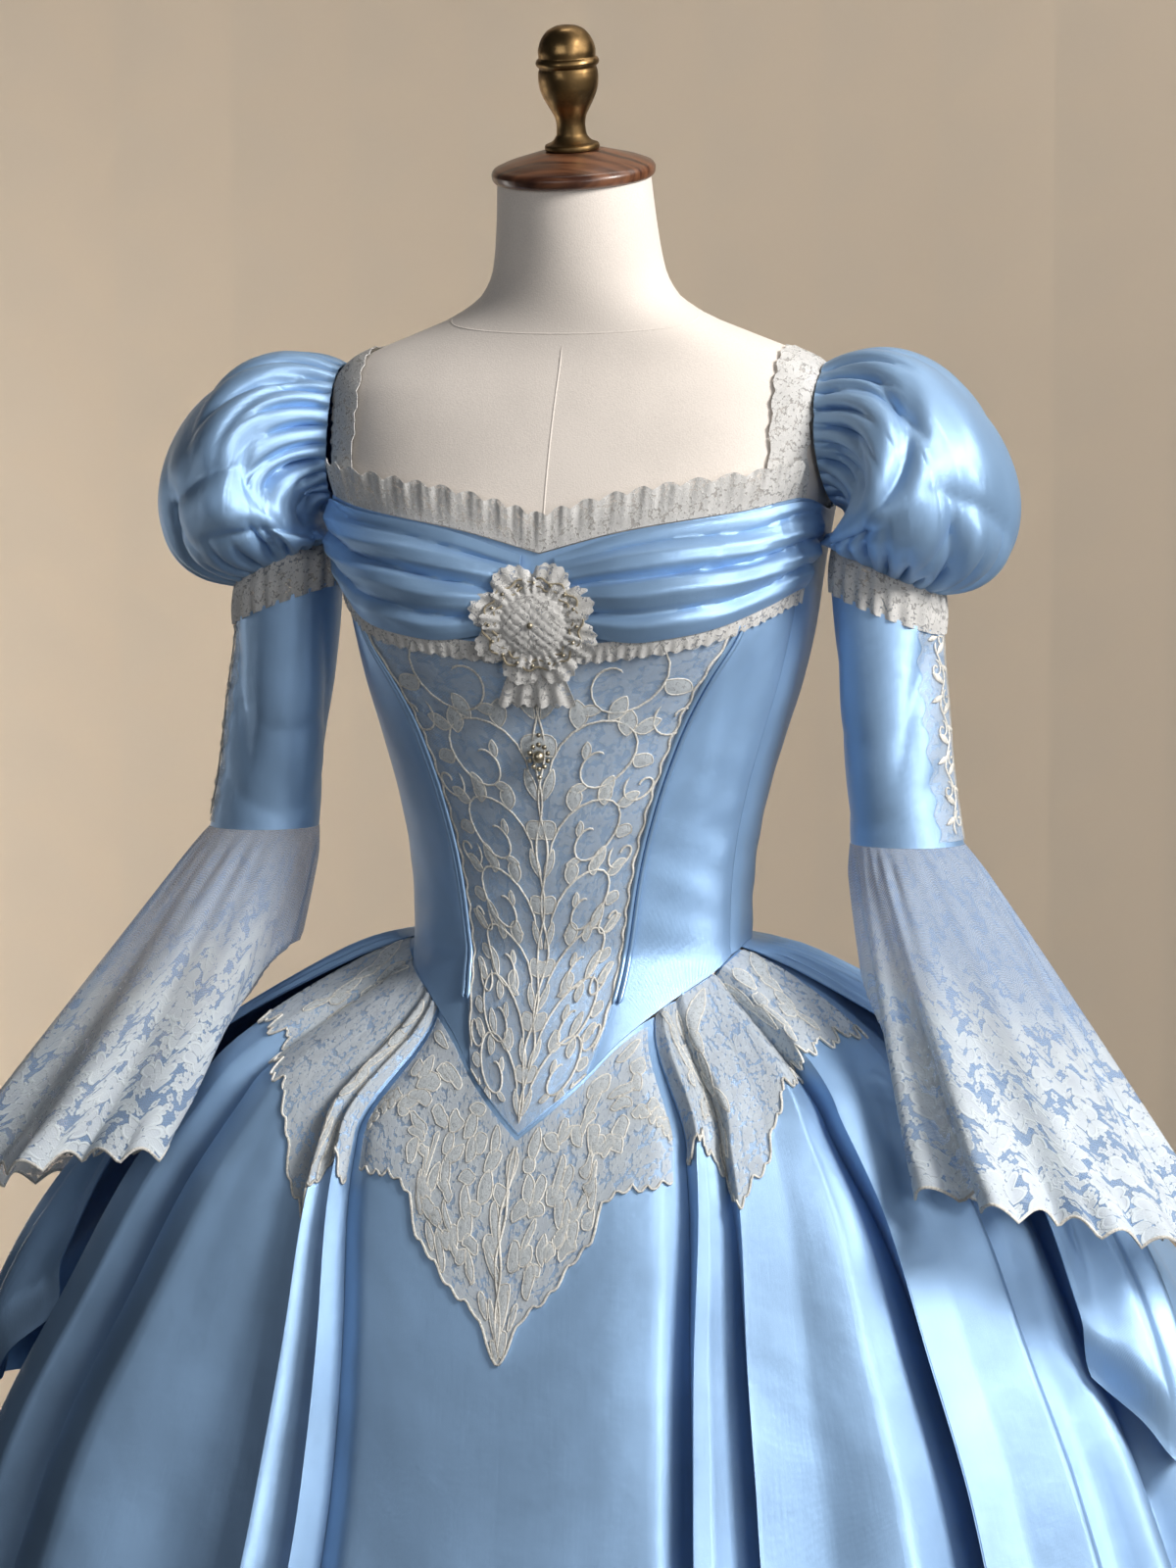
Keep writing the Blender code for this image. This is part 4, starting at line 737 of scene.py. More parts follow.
def leaves(rows, count=19):
    """Leaf outlines on the flat: from each row's foot, length, lean, half width and bend a closed almond,
    pointed at both ends and bent to one side."""
    x, y, length, lean, half, bend = (np.asarray(rows, float).T)[:, :, None]
    t = np.linspace(0, 1, count)[None]
    along = 0.5 - 0.5 * np.cos(2 * math.pi * t)
    side = np.where(t < 0.5, 1, -1) * half * np.sin(math.pi * along) ** 0.8
    return leant(x, y, length * along, side + bend * along**2, lean)


def laid_cords(panelwork, flat, wide, lift):
    """Cords of the given half width along curves on the flat, laid over a panel."""
    points, out = panelwork.at(flat[0], flat[1], np.full(flat[0].shape, lift))
    return swept(points, out, wide, wide * 0.8)


def laid_leaves(panelwork, rows, lift, high, across=5, along=7):
    """Solid leaves: the almond's inside as a domed patch over a flat back."""
    x, y, length, lean, half, bend = (np.asarray(rows, float).T)[:, :, None, None]
    u = np.linspace(-1, 1, across)[None, :, None]
    t = np.linspace(0.02, 0.98, along)[None, None]
    side = u * half * np.sin(math.pi * t) ** 0.8 + bend * t**2
    px, py = leant(x, y, length * t, side, lean)
    dome = lift + 0.0001 + high * (1 - np.abs(u) ** 1.5) * np.sin(math.pi * t) ** 0.6
    top, _ = panelwork.at(px, py, dome + 0 * px)
    low, _ = panelwork.at(px, py, lift + 0 * px)
    return [wall(a, b) for a, b in zip(top, low)]


# ---------------------------------------------------------------- node groups and materials


class Nodes:
    """Short names for building a node tree."""

    def __init__(self, tree):
        """Keeps the tree."""
        self.tree = tree

    def feed(self, value, socket):
        """Links another node's output to a socket, or sets the socket to a value."""
        if isinstance(value, bpy.types.NodeSocket):
            self.tree.links.new(value, socket)
        else:
            socket.default_value = value

    def add(self, kind, inputs=None, **values):
        """A node, its plain settings and its inputs, each a value or another node's output."""
        node = self.tree.nodes.new(kind)
        for key, value in values.items():
            setattr(node, key, value)
        for key, value in (inputs or {}).items():
            self.feed(value, node.inputs[key])
        return node

    def math(self, operation, first, second=0.0, third=0.5, clamp=False):
        """Arithmetic on one, two or three values."""
        inputs = {0: first, 1: second, 2: third}
        return self.add("ShaderNodeMath", inputs, operation=operation, use_clamp=clamp).outputs[0]

    def vector(self, operation, first, second):
        """Arithmetic on two vectors, or a vector and its scale."""
        inputs = {0: first, "Scale" if operation == "SCALE" else 1: second}
        return self.add("ShaderNodeVectorMath", inputs, operation=operation).outputs[0]

    def split(self, vector):
        """The parts of a vector."""
        return self.add("ShaderNodeSeparateXYZ", {0: vector}).outputs

    def noise(self, where, scale, detail, **more):
        """Smooth noise, as a value and a colour."""
        inputs = {"Vector": where, "Scale": scale, "Detail": detail, **more}
        return self.add("ShaderNodeTexNoise", inputs).outputs

    def span(self, value, low, high):
        """A smooth step from 0 to 1 of a value between two limits."""
        inputs = {"Value": value, "From Min": low, "From Max": high}
        node = self.add("ShaderNodeMapRange", inputs, interpolation_type="SMOOTHSTEP")
        return node.outputs["Result"]

    def mix(self, share, first, second):
        """A colour between two, each a colour or another node's output."""
        node = self.add("ShaderNodeMix", {"Factor": share}, data_type="RGBA")
        for socket, value in ((node.inputs[6], first), (node.inputs[7], second)):
            self.feed(value if isinstance(value, bpy.types.NodeSocket) else (*value[:3], 1.0), socket)
        return node.outputs[2]


def group(name, inputs, outputs):
    """A new shader group with float and vector inputs and outputs, as its tree, start and end."""
    tree = bpy.data.node_groups.new(name, "ShaderNodeTree")
    for label, kind, value in inputs:
        socket = tree.interface.new_socket(label, in_out="INPUT", socket_type=kind)
        if value is not None:
            socket.default_value = value
    for label, kind in outputs:
        tree.interface.new_socket(label, in_out="OUTPUT", socket_type=kind)
    build = Nodes(tree)
    return build, build.add("NodeGroupInput"), build.add("NodeGroupOutput")


FLOAT, VECTOR = "NodeSocketFloat", "NodeSocketVector"


def weave_group():
    """Threads: two waves across each other at Pitch metres, uneven by noise. Puts out their height and a
    slow tone from 0 to 1 for colour that varies over the cloth."""
    b, start, end = group(
        "thread_weave",
        [
            ("Vector", VECTOR, None),
            ("Pitch", FLOAT, 0.0005),
            ("Unevenness", FLOAT, 0.5),
            ("Tone Scale", FLOAT, 9.0),
        ],
        [("Height", FLOAT), ("Tone", FLOAT)],
    )
    where = start.outputs["Vector"]
    scale = b.math("DIVIDE", 1.0, start.outputs["Pitch"])
    waves = [
        b.math("SINE", b.math("MULTIPLY", b.math("MULTIPLY", part, scale), 2 * math.pi))
        for part in b.split(where)[:2]
    ]
    slub = b.noise(b.vector("MULTIPLY", where, (1.0, 0.06, 1.0)), 420.0, 2.0)[0]
    uneven = b.math("MULTIPLY", slub, start.outputs["Unevenness"])
    height = b.math("MULTIPLY_ADD", b.math("MAXIMUM", *waves), 0.5, uneven)
    tone = b.noise(where, start.outputs["Tone Scale"], 3.0)[0]
    b.feed(height, end.inputs["Height"])
    b.feed(tone, end.inputs["Tone"])


def blossoms(b, where, size, petals, bloom, turned):
    """Flowers, one in each cell of a Voronoi pattern: the edge is a circle whose radius follows the size of a
    cosine of half the petals times the angle. Gives how far inside the edge a place is, the angle wave and
    the distance from the flower's middle."""
    sized = b.vector("ADD", b.vector("SCALE", where, size), (turned, 0.37 * turned, 0.0))
    inputs = {"Vector": sized, "Scale": 1.0, "Randomness": 0.7}
    cell = b.add("ShaderNodeTexVoronoi", inputs, voronoi_dimensions="2D").outputs
    away = b.split(b.vector("SUBTRACT", sized, cell["Position"]))
    turn = b.math("ARCTAN2", away[1], away[0])
    own = b.add("ShaderNodeSeparateColor", {0: cell["Color"]}).outputs[0]
    phase = b.math("MULTIPLY", own, 2 * math.pi)
    wave = b.math("ABSOLUTE", b.math("COSINE", b.math("MULTIPLY_ADD", turn, petals / 2, phase)))
    edge = b.math("MULTIPLY", bloom, b.math("MULTIPLY_ADD", wave, 0.42, 0.62))
    return b.math("SUBTRACT", edge, cell["Distance"]), wave, cell["Distance"]


def lace_group():
    """Lace figures on the flat: three sizes of flowers laid over each other, their outlines, and a diamond
    net of two slanted waves. Each mask runs from 0 to 1."""
    b, start, end = group(
        "lace_figure",
        [("Vector", VECTOR, None), ("Scale", FLOAT, 40.0), ("Bloom", FLOAT, 0.44), ("Mesh", FLOAT, 0.0016)],
        [("Figure", FLOAT), ("Outline", FLOAT), ("Net", FLOAT)],
    )
    where, bloom = start.outputs["Vector"], start.outputs["Bloom"]
    shift = b.vector("SUBTRACT", b.noise(where, 55.0, 1.0)[1], (0.5, 0.5, 0.5))
    bent = b.vector("ADD", where, b.vector("SCALE", shift, 0.010))
    figure, outline = None, None
    for size, petals, shrink, turned in ((1.0, 5, 1.0, 0.0), (1.75, 5, 0.92, 3.1), (3.6, 4, 0.80, 7.7)):
        scale = b.math("MULTIPLY", start.outputs["Scale"], size)
        bloomed = b.math("MULTIPLY", bloom, shrink)
        inside, wave, distance = blossoms(b, bent, scale, petals, bloomed, turned)
        full = b.span(inside, -0.015, 0.015)
        heart = b.span(distance, 0.05, 0.09)
        veins = b.math("MULTIPLY_ADD", b.span(wave, 0.10, 0.32), 0.45, 0.55)
        solid = b.math("MULTIPLY", full, b.math("MULTIPLY", veins, b.math("MULTIPLY_ADD", heart, 0.7, 0.3)))
        rim = b.span(b.math("ABSOLUTE", b.math("SUBTRACT", inside, 0.03)), 0.055, 0.022)
        if figure is None:
            figure, outline = b.math("MAXIMUM", solid, rim), rim
        else:
            hidden = b.math("SUBTRACT", 1.0, b.math("MULTIPLY", figure, 0.9), clamp=True)
            figure = b.math("MAXIMUM", figure, b.math("MAXIMUM", solid, rim))
            outline = b.math("MAXIMUM", outline, b.math("MULTIPLY", rim, hidden))
    x, y, _ = b.split(where)
    lines = [b.math("DIVIDE", b.math(way, x, y), start.outputs["Mesh"]) for way in ("ADD", "SUBTRACT")]
    threads = [b.math("ABSOLUTE", b.math("SINE", b.math("MULTIPLY", line, math.pi))) for line in lines]
    net = b.span(b.math("MINIMUM", *threads), 0.34, 0.16)
    for label, value in (("Figure", figure), ("Outline", outline), ("Net", net)):
        b.feed(value, end.inputs[label])


def placed(b, name, inputs):
    """A group put into a material with its own values, as its outputs."""
    return b.add("ShaderNodeGroup", inputs, node_tree=bpy.data.node_groups[name]).outputs


def blank(name, **values):
    """A new material with its Principled shader's plain sockets set, as the material, its tree, its shader's
    sockets and the places on the cloth and on the object that its patterns read."""
    made = bpy.data.materials.new(name)
    made.use_nodes = True
    shader = made.node_tree.nodes["Principled BSDF"]
    for key, value in values.items():
        shader.inputs[key.replace("_", " ")].default_value = value
    b = Nodes(made.node_tree)
    places = b.add("ShaderNodeTexCoord").outputs
    return made, b, shader.inputs, places["UV"], places["Object"]


def times(colour, factor):
    """A colour made darker or lighter, each part no more than 1."""
    return tuple(min(c * factor, 1) for c in colour)


def bump(b, sockets, height, strength, distance):
    """Relief of a height between 0 and 1 that is distance metres deep."""
    node = b.add("ShaderNodeBump", {"Height": height, "Strength": strength, "Distance": distance})
    b.feed(node.outputs[0], sockets["Normal"])


def satin(name, colour, shade=1.0):
    """Satin: a strong soft gloss, part of it tinted, with long threads, a slow change of tone, slow swells
    and fine press marks."""
    sheen = {"Sheen_Weight": 0.06, "Sheen_Roughness": 0.35, "Sheen_Tint": (0.86, 0.92, 1.0, 1.0)}
    made, b, sockets, cloth, where = blank(name, Metallic=0.52, IOR=1.75, **sheen)
    threads = {"Vector": cloth, "Pitch": 0.0007, "Unevenness": 0.8, "Tone Scale": 7.0}
    weave = placed(b, "thread_weave", threads)
    tone = b.span(weave["Tone"], 0.30, 0.70)
    b.feed(b.mix(tone, times(colour, 0.84 * shade), times(colour, 1.10 * shade)), sockets["Base Color"])
    b.feed(b.math("MULTIPLY_ADD", tone, -0.06, 0.400), sockets["Roughness"])
    marks = b.noise(where, 20.0, 4.0, Roughness=0.55)[0]
    swell = b.noise(where, 6.5, 1.5, Distortion=0.8)[0]
    height = b.math("MULTIPLY_ADD", swell, 1.6, b.math("MULTIPLY", marks, 0.42))
    height = b.math("MULTIPLY_ADD", weave["Height"], 0.04, height)
    bump(b, sockets, height, 0.45, 0.0060)
    return made


def lace(name, colour, scale, net_cover, bloom, border=None, amount=1.0, mesh=0.0016, ground=None):
    """Lace: threads where the figures are and a part-clear net between. Border has two distances down the
    pattern, between which the figures grow from a weak share, its third value, to the full amount. Ground is
    the net's own colour. Amount is how much of the figures shows."""
    made, b, sockets, cloth, _ = blank(name, Roughness=0.80, Sheen_Weight=0.25, Sheen_Roughness=0.5)
    figure = placed(b, "lace_figure", {"Vector": cloth, "Scale": scale, "Bloom": bloom, "Mesh": mesh})
    threads = {"Vector": cloth, "Pitch": 0.0006, "Unevenness": 1.0, "Tone Scale": 60.0}
    weave = placed(b, "thread_weave", threads)
    share = amount
    if border:
        near, far, weak = border
        wander = b.math("MULTIPLY_ADD", b.noise(cloth, 26.0, 1.0)[0], 0.030, b.split(cloth)[1])
        share = b.math("MULTIPLY_ADD", b.span(wander, near + 0.015, far + 0.015), amount - weak, weak)
    solid, outline = (b.math("MULTIPLY", figure[k], share) for k in ("Figure", "Outline"))
    bright = times(colour, 1.26)
    shown = b.mix(weave["Tone"], times(colour, 0.82), bright)
    shown = b.mix(b.math("MULTIPLY", outline, 0.7), shown, bright)
    if ground:
        shown = b.mix(b.span(solid, 0.15, 0.5), ground, shown)
    cover = b.math("MAXIMUM", solid, b.math("MULTIPLY_ADD", figure["Net"], 0.20, net_cover))
    b.feed(shown, sockets["Base Color"])
    b.feed(b.math("MINIMUM", cover, 0.98), sockets["Alpha"])
    height = b.math("MULTIPLY_ADD", solid, 0.6, b.math("MULTIPLY", figure["Net"], 0.2))
    height = b.math("MULTIPLY_ADD", outline, 0.9, height)
    height = b.math("MULTIPLY_ADD", weave["Height"], 0.10, height)
    bump(b, sockets, height, 0.55, 0.0012)
    return made


def thread(name, colour, metallic=0.0, roughness=0.7):
    """Twisted thread of the cords and leaves."""
    made, b, sockets, _, where = blank(name, Metallic=metallic, Roughness=roughness, Sheen_Weight=0.2)
    grain, slow = b.noise(where, 700.0, 2.0)[0], b.noise(where, 35.0, 2.0)[0]
    tone = b.span(b.math("MULTIPLY_ADD", grain, 0.5, b.math("MULTIPLY", slow, 0.5)), 0.34, 0.66)
    b.feed(b.mix(tone, times(colour, 0.6), times(colour, 1.25)), sockets["Base Color"])
    bump(b, sockets, grain, 0.6, 0.0006)
    return made


def linen(name, colour):
    """The form's matt cover: a fine even weave with slight marks."""
    made, b, sockets, _, where = blank(name, Roughness=0.88, Sheen_Weight=0.15)
    fine, marks = b.noise(where, 900.0, 2.0)[0], b.noise(where, 9.0, 4.0)[0]
    tone = b.span(b.math("MULTIPLY_ADD", fine, 0.35, b.math("MULTIPLY", marks, 0.65)), 0.35, 0.62)
    b.feed(b.mix(tone, times(colour, 0.90), times(colour, 1.04)), sockets["Base Color"])
    bump(b, sockets, fine, 0.35, 0.0004)
    return made


def walnut(name):
    """Dark polished wood: rings stretched along the grain."""
    made, b, sockets, _, where = blank(name, Coat_Weight=0.35, Coat_Roughness=0.22)
    stretched = b.add("ShaderNodeMapping", {"Vector": where, "Scale": (1.0, 9.0, 3.0)}).outputs[0]
    grain = b.noise(stretched, 14.0, 6.0, Distortion=0.8)[0]
    tone = b.span(grain, 0.33, 0.68)
    b.feed(b.mix(tone, (0.045, 0.016, 0.009), (0.20, 0.080, 0.036)), sockets["Base Color"])
    b.feed(b.math("MULTIPLY_ADD", tone, 0.12, 0.32), sockets["Roughness"])
    bump(b, sockets, grain, 0.25, 0.0008)
    return made


def aged_brass(name, bright=(0.36, 0.225, 0.095)):
    """Old brass: brown in patches, worn bright in others."""
    made, b, sockets, _, where = blank(name, Metallic=1.0)
    patches = b.noise(where, 60.0, 5.0)[0]
    tone = b.span(patches, 0.38, 0.64)
    b.feed(b.mix(tone, times(bright, 0.38), bright), sockets["Base Color"])
    b.feed(b.math("MULTIPLY_ADD", tone, -0.20, 0.50), sockets["Roughness"])
    bump(b, sockets, patches, 0.3, 0.0008)
    return made


def studio(name, colour):
    """Plain painted backdrop with the faintest mottle, which darkens to a brown floor."""
    made, b, sockets, _, where = blank(name, Roughness=0.95)
    paint = b.mix(b.noise(where, 1.7, 3.0)[0], times(colour, 0.95), times(colour, 1.05))
    above = b.span(b.split(where)[2], 0.02, 0.35)
    b.feed(b.mix(above, times(colour, 0.15), paint), sockets["Base Color"])
    return made


def finish_of(name):
    """The record's slot that a finish belongs to, and its material, which is made when first asked for."""
    if "thread_weave" not in bpy.data.node_groups:
        weave_group()
        lace_group()
    cloth, trim, form = settings(bpy.context)
    blue, silver, cords = tuple(cloth.colour), tuple(trim.colour), tuple(trim.cord_colour)
    ecru, pale, net = (0.69, 0.68, 0.655), (0.70, 0.77, 0.89), (0.38, 0.55, 0.82)
    slot, make, *values = {
        "powder_satin": ("satin", satin, blue),
        "piping_satin": ("satin", satin, blue, 0.9),
        "bodice_lace": ("lace", lace, silver, 52.0, 0.05, 0.38, None, 0.22),
        "leaf_net": ("lace", lace, silver, 210.0, 0.30, 0.46, None, 0.62),
        "edge_lace": ("lace", lace, ecru, 105.0, 0.26, 0.46, None, 0.85),
        "skirt_lace": ("lace", lace, silver, 58.0, 0.08, 0.42, None, 0.50),
        "flounce_lace": ("tulle", lace, pale, 36.0, 0.30, 0.42, (0.050, 0.200, 0.29), 0.72, 0.0020, net),
        "silver_cord": ("lace", thread, cords),
        "gilt_cord": ("lace", thread, (0.42, 0.36, 0.25), 0.35, 0.5),
        "bead": ("brass", aged_brass, (0.70, 0.62, 0.46)),
        "linen_cover": ("linen", linen, tuple(form.cover)),
        "walnut": ("wood", walnut),
        "aged_brass": ("brass", aged_brass),
    }[name]
    return slot, bpy.data.materials.get(name) or make(name, *values)


# ---------------------------------------------------------------- what the gown rests on


def form_face(angle, z, out):
    """Points of the form's cover moved out along its normals, and the normals."""
    normals = surface_normals(form_at, angle, z)
    return form_at(angle, z) + normals * out, normals


def dress_form():
    """The form's linen cover, a tube closed at both ends, with fine cords laid along its seams: down the
    middle of the front and the back, down both sides, and round the foot of the neck."""
    top = FIGURE["z"][-1]
    points = form_at(np.linspace(-180, 180, 97)[:, None], np.linspace(FORM_BOTTOM, top, 120)[None])
    low = np.linspace(1.05, top - 0.001, 60)
    down = np.linspace(FORM_BOTTOM + 0.002, top - 0.001, 90)
    sides = low[low < 1.43]
    seams = [(0.0, down[down < 1.458]), (180.0, down), (98.0, sides), (-98.0, sides)]
    around = np.linspace(-180, 180, 121)
    seams.append((around, 1.478 - 0.018 * np.cos(np.radians(around))))
    cords = []
    for angle, heights in seams:
        line, up = form_face(angle + 0 * heights, heights, 0.0002)
        cords.append(swept(line[None] - 0.0002 * up[None], up[None], 0.0007, 0.00035))
    put(DRESSED, [capped(points, on_cloth(points)), *cords], "linen_cover", "form_torso")


def dress_stand(context):
    """The turned cap and spire on the neck, along its lean, and the pole and foot that carry the form."""
    segments, tilt = settings(context)[2].segments, math.radians(NECK_TILT)
    axis = np.array([0, -math.sin(tilt), math.cos(tilt)])
    middle = FIGURE["middle"][-1] + (FIGURE["back"][-1] - FIGURE["front"][-1]) / 2
    seat = np.array([0, middle, FIGURE["z"][-1]]) + SEAM_GAP * axis
    put("cap", [turned_shape(rounded(CAP), segments, seat, tilt)], "walnut", "neck_cap")
    spire = turned_shape(rounded(SPIRE, 7), segments, seat + (CAP[-1][1] + SEAM_GAP) * axis, tilt)
    put("spire", [spire], "aged_brass", "finial")
    put("foot", [turned_shape(rounded(FOOT), 96)], "walnut", "stand_foot")
    start, end = FOOT_HEIGHT + SEAM_GAP, FORM_BOTTOM - SEAM_GAP
    pole = np.array([(0, start), (0.0125, start), (POLE_RADIUS, start + 0.002), (POLE_RADIUS, end), (0, end)])
    put("pole", [turned_shape(pole, segments)], "walnut", "stand_pole")


# ---------------------------------------------------------------- bodice


def ripples(across, along, amount, seed, across_rate=60.0, along_rate=9.0, waves=7):
    """Small unevenness of cloth: the mean of sine waves of random rate and phase over two lengths in metres,
    quicker across the cloth than along it."""
    random = np.random.default_rng(seed)
    ends = ((0.35, 1.0), (-1.0, 1.0), (0.0, 2 * math.pi))
    a, b, phase = (random.uniform(low, high, (waves, 1, 1)) for low, high in ends)
    turn = across[None] * a * across_rate + along[None] * b * along_rate + phase
    return amount * np.sin(turn).mean(axis=0) * math.sqrt(waves)


def bodice_grid(first, last, cells_across, rows):
    """Grid of (angle, height) between two seams, from the waist (row 0) to the drape's edge (1) and on to the
    neckline (2). The seams' angles hang on the height and the heights on the angle, so rounds settle both."""
    share = np.linspace(0, 1, cells_across + 1)[:, None]
    rows = np.asarray(rows, float)[None]
    z = np.full((cells_across + 1, rows.shape[1]), 1.15)
    for _ in range(12):
        low = first(z[:1]) if callable(first) else first
        high = last(z[-1:]) if callable(last) else last
        angle = low + share * (high - low)
        bottom, edge, top = waist_at(angle), by_angle(DRAPE_EDGE, angle), by_angle(NECKLINE, angle)
        z = np.where(rows <= 1, bottom + rows * (edge - bottom), edge + (rows - 1) * (top - edge))
    return angle, z


def stomacher_edge(z):
    """Angle of the stomacher's seam at a height."""
    return column(STOMACHER_EDGE, "angle", z)


def across_belly(x):
    """Angle in degrees of a place x metres across the bodice's front."""
    return np.degrees(np.asarray(x) / BELLY_RADIUS)


def raised(angle, z, out):
    """Points of the bodice's face moved out along its normals."""
    return bodice_at(angle, z) + surface_normals(bodice_at, angle, z) * np.asarray(out)[..., None]


def dress_bodice(context):
    """The panels: all but the stomacher turn in by under a millimetre at their seams, and have level drag
    lines at the waist, waves up the height that fade to the seams."""
    thick, rows = settings(context)[0].thickness, np.linspace(0, 2, 90)
    seams = (stomacher_edge, *BODICE_SEAMS[1:])
    panels = [("bodice_stomacher", bodice_grid(lambda z: -stomacher_edge(z), stomacher_edge, 48, rows))]
    for word, side in SIDES:
        for part, first, last in zip(("front", "side", "back"), seams[:-1], seams[1:]):
            angle, z = bodice_grid(first, last, 26, rows)
            panels.append((f"bodice_{part}_{word}", (side * angle, z)))
    for number, (name, (angle, z)) in enumerate(panels):
        share = np.linspace(0, 1, len(angle))[:, None]
        away = np.minimum(share, 1 - share)
        edge = -0.0007 * np.exp(-((away / 0.045) ** 2))
        middle = np.exp(-(((z - 1.085) / 0.075) ** 2)) * ease(away, 0.0, 0.2)
        drag = 0.0004 * np.sin(2 * math.pi * ((z - 1.0) / 0.031 + 0.9 * share + number)) * middle
        drag = drag + ripples(angle / 8, z, 0.00028, 40 + number, 3.2, 40.0) * ease(away, 0, 0.2)
        out = (edge + drag) * (number > 0)
        outer, inner = raised(angle, z, out), raised(angle, z, out - thick)
        piece = put(name + "_satin", [wall(trimmed(outer), trimmed(inner))], "powder_satin", name)


def scroll_rows(levels, foot, room, step, grow):
    """Scrolls beside a stem: at each level a spiral on either side that leaves the stem and curls over
    outwards, a small one against it under its arch, and leaves that fan out along its back and shrink towards
    its eye, with two over the eye and one from the stem. Room gives the half width at a height."""
    y = foot + np.cumsum(step + grow * np.arange(levels))
    wide = room(y)
    size = 0.40 * wide
    curls, leafs = [], []
    for side in (-1, 1):
        start, spin = (0.0, 1.0) if side < 0 else (math.pi, -1.0)
        curls.append(rows_of(side * 0.47 * wide, y, size, start, SCROLL_TURNS, spin))
        curls.append(rows_of(side * 0.80 * wide, y - 0.9 * size, 0.16 * wide, start + 0.9 * spin, 1.1, -spin))
        for t in (0.05, 0.13, 0.21, 0.30, 0.40, 0.52, 0.62, 0.80):
            angle = start + spin * SCROLL_TURNS * 2 * math.pi * t
            radius = size * (1 - SCROLL_IN * t)
            foot_x, foot_y = side * 0.47 * wide + radius * math.cos(angle), y + radius * math.sin(angle)
            if t < 0.6:
                long = 0.60 * size * (1 - 0.6 * t)
                shape = (long, angle + spin * 0.65, 0.30 * long + 0.0006, -spin * 0.18 * long)
            else:
                shape = (0.34 * size, angle + spin * 1.2, 0.085 * size, 0)
            leafs.append(rows_of(foot_x, foot_y, *shape))
        lean = math.pi / 2 - side * 0.6
        stem = (side * 0.02 * wide, y - 0.35 * size, 0.55 * size, lean, 0.11 * size, 0.1 * side * size)
        leafs.append(rows_of(*stem))
    return np.concatenate(curls), np.concatenate(leafs)


def dress_stomacher(context):
    """The lace over the stomacher: net with a raised stem, scrolls and leaves of cord, and two piping cords
    over the seam on each side."""
    trim, lift = settings(context)[1], 0.0006
    surface = lift + trim.thickness
    rows = np.linspace(0.004, 0.996, 80)
    angle, z = bodice_grid(lambda z: 0.4 - stomacher_edge(z), lambda z: stomacher_edge(z) - 0.4, 44, rows)
    work = Panelwork(bodice_at(angle, z), (0, 0, 1.1))
    outer, inner = raised(angle, z, surface), raised(angle, z, lift)
    net = put("stomacher_net", [wall(outer, inner)], "bodice_lace", "stomacher_lace")
    top = work.down[-1]

    def room(y):
        """Half width that the lace's figures may fill."""
        return 0.5 * np.interp(y, work.down, work.widths) - 0.004

    curls, leafs = scroll_rows(7, -0.010, room, 0.030, 0.0050)
    curls = curls[curls[:, 1] < top - 0.022]
    leafs = leafs[leafs[:, 1] < top - 0.020]
    stem_y = np.linspace(0.006, top - 0.012, 110)[None]
    waves = ((0.0, -0.0016), (math.pi, 0.0016))
    stems = np.concatenate([0.0030 * np.sin(stem_y * 88 + phase) + aside for phase, aside in waves])
    edge_y = np.linspace(0.012, top - 0.004, 110)
    edge = room(edge_y) + 0.0005 + 0.0012 * np.sin(edge_y * 330)
    shapes = [
        laid_cords(work, spirals(curls), trim.cord * 0.85, surface),
        laid_cords(work, (stems, np.repeat(stem_y, 2, 0)), trim.cord * 0.9, surface),
        laid_cords(work, (np.stack([-edge, edge]), np.repeat(edge_y[None], 2, 0)), trim.cord, surface),
        laid_cords(work, leaves(leafs), trim.cord * 0.6, surface),
    ]
    filling = put("stomacher_leaves", laid_leaves(work, leafs, surface, 0.0006), "leaf_net")
    relief = put("stomacher_cords", shapes, "silver_cord")
    rows = np.linspace(0.10, 0.985, 140)
    for word, side in SIDES:
        angle, z = bodice_grid(stomacher_edge, lambda z: stomacher_edge(z) + 3, 1, rows)
        up = surface_normals(bodice_at, side * angle[0], z[0])
        lines = [raised(side * (angle[0] + shift), z[0], 0.0016) for shift in (-0.1, 1.75)]
        cords = [swept(line[None], up[None], 0.0017, 0.0016, 10) for line in lines]
        put(f"piping_{word}", cords, "piping_satin", f"stomacher_piping_{word}")


def dress_frill(context):
    """Scalloped lace that stands up along the neckline: small pleats round it and an edge of shallow arcs."""
    thick, rise, pleat = settings(context)[1].thickness, np.linspace(0, 1, 10)[None], 5.6
    parts = (("front", -59.0, 59.0, 260, "stomacher"), ("back", 120.0, 240.0, 200, "back_left"))
    for name, first, last, columns, panel in parts:
        angle = np.linspace(first, last, columns)[:, None]
        edge = np.where(angle > 180, angle - 360, angle)
        drift = angle + 1.1 * np.sin(np.radians(angle * 5)) + 0.6 * np.sin(np.radians(angle * 13 + 40))
        scallop = 0.0042 * np.abs(np.sin(math.pi * (drift - first) / pleat)) * rise**3
        z = by_angle(NECKLINE, edge) + SEAM_GAP + 0.0215 * rise + scallop
        pleats = 0.0008 * np.sin(2 * math.pi * drift / pleat)
        pleats = pleats + 0.0004 * np.sin(2 * math.pi * drift / 2.1 + 1)
        lean = 0.0018 + 0.0058 * rise**1.2 + pleats * rise
        outer, inner = raised(edge, z, lean), raised(edge, z, lean - thick)
        piece = put(f"frill_{name}", [wall(outer, inner)], "edge_lace", f"neck_frill_{name}")


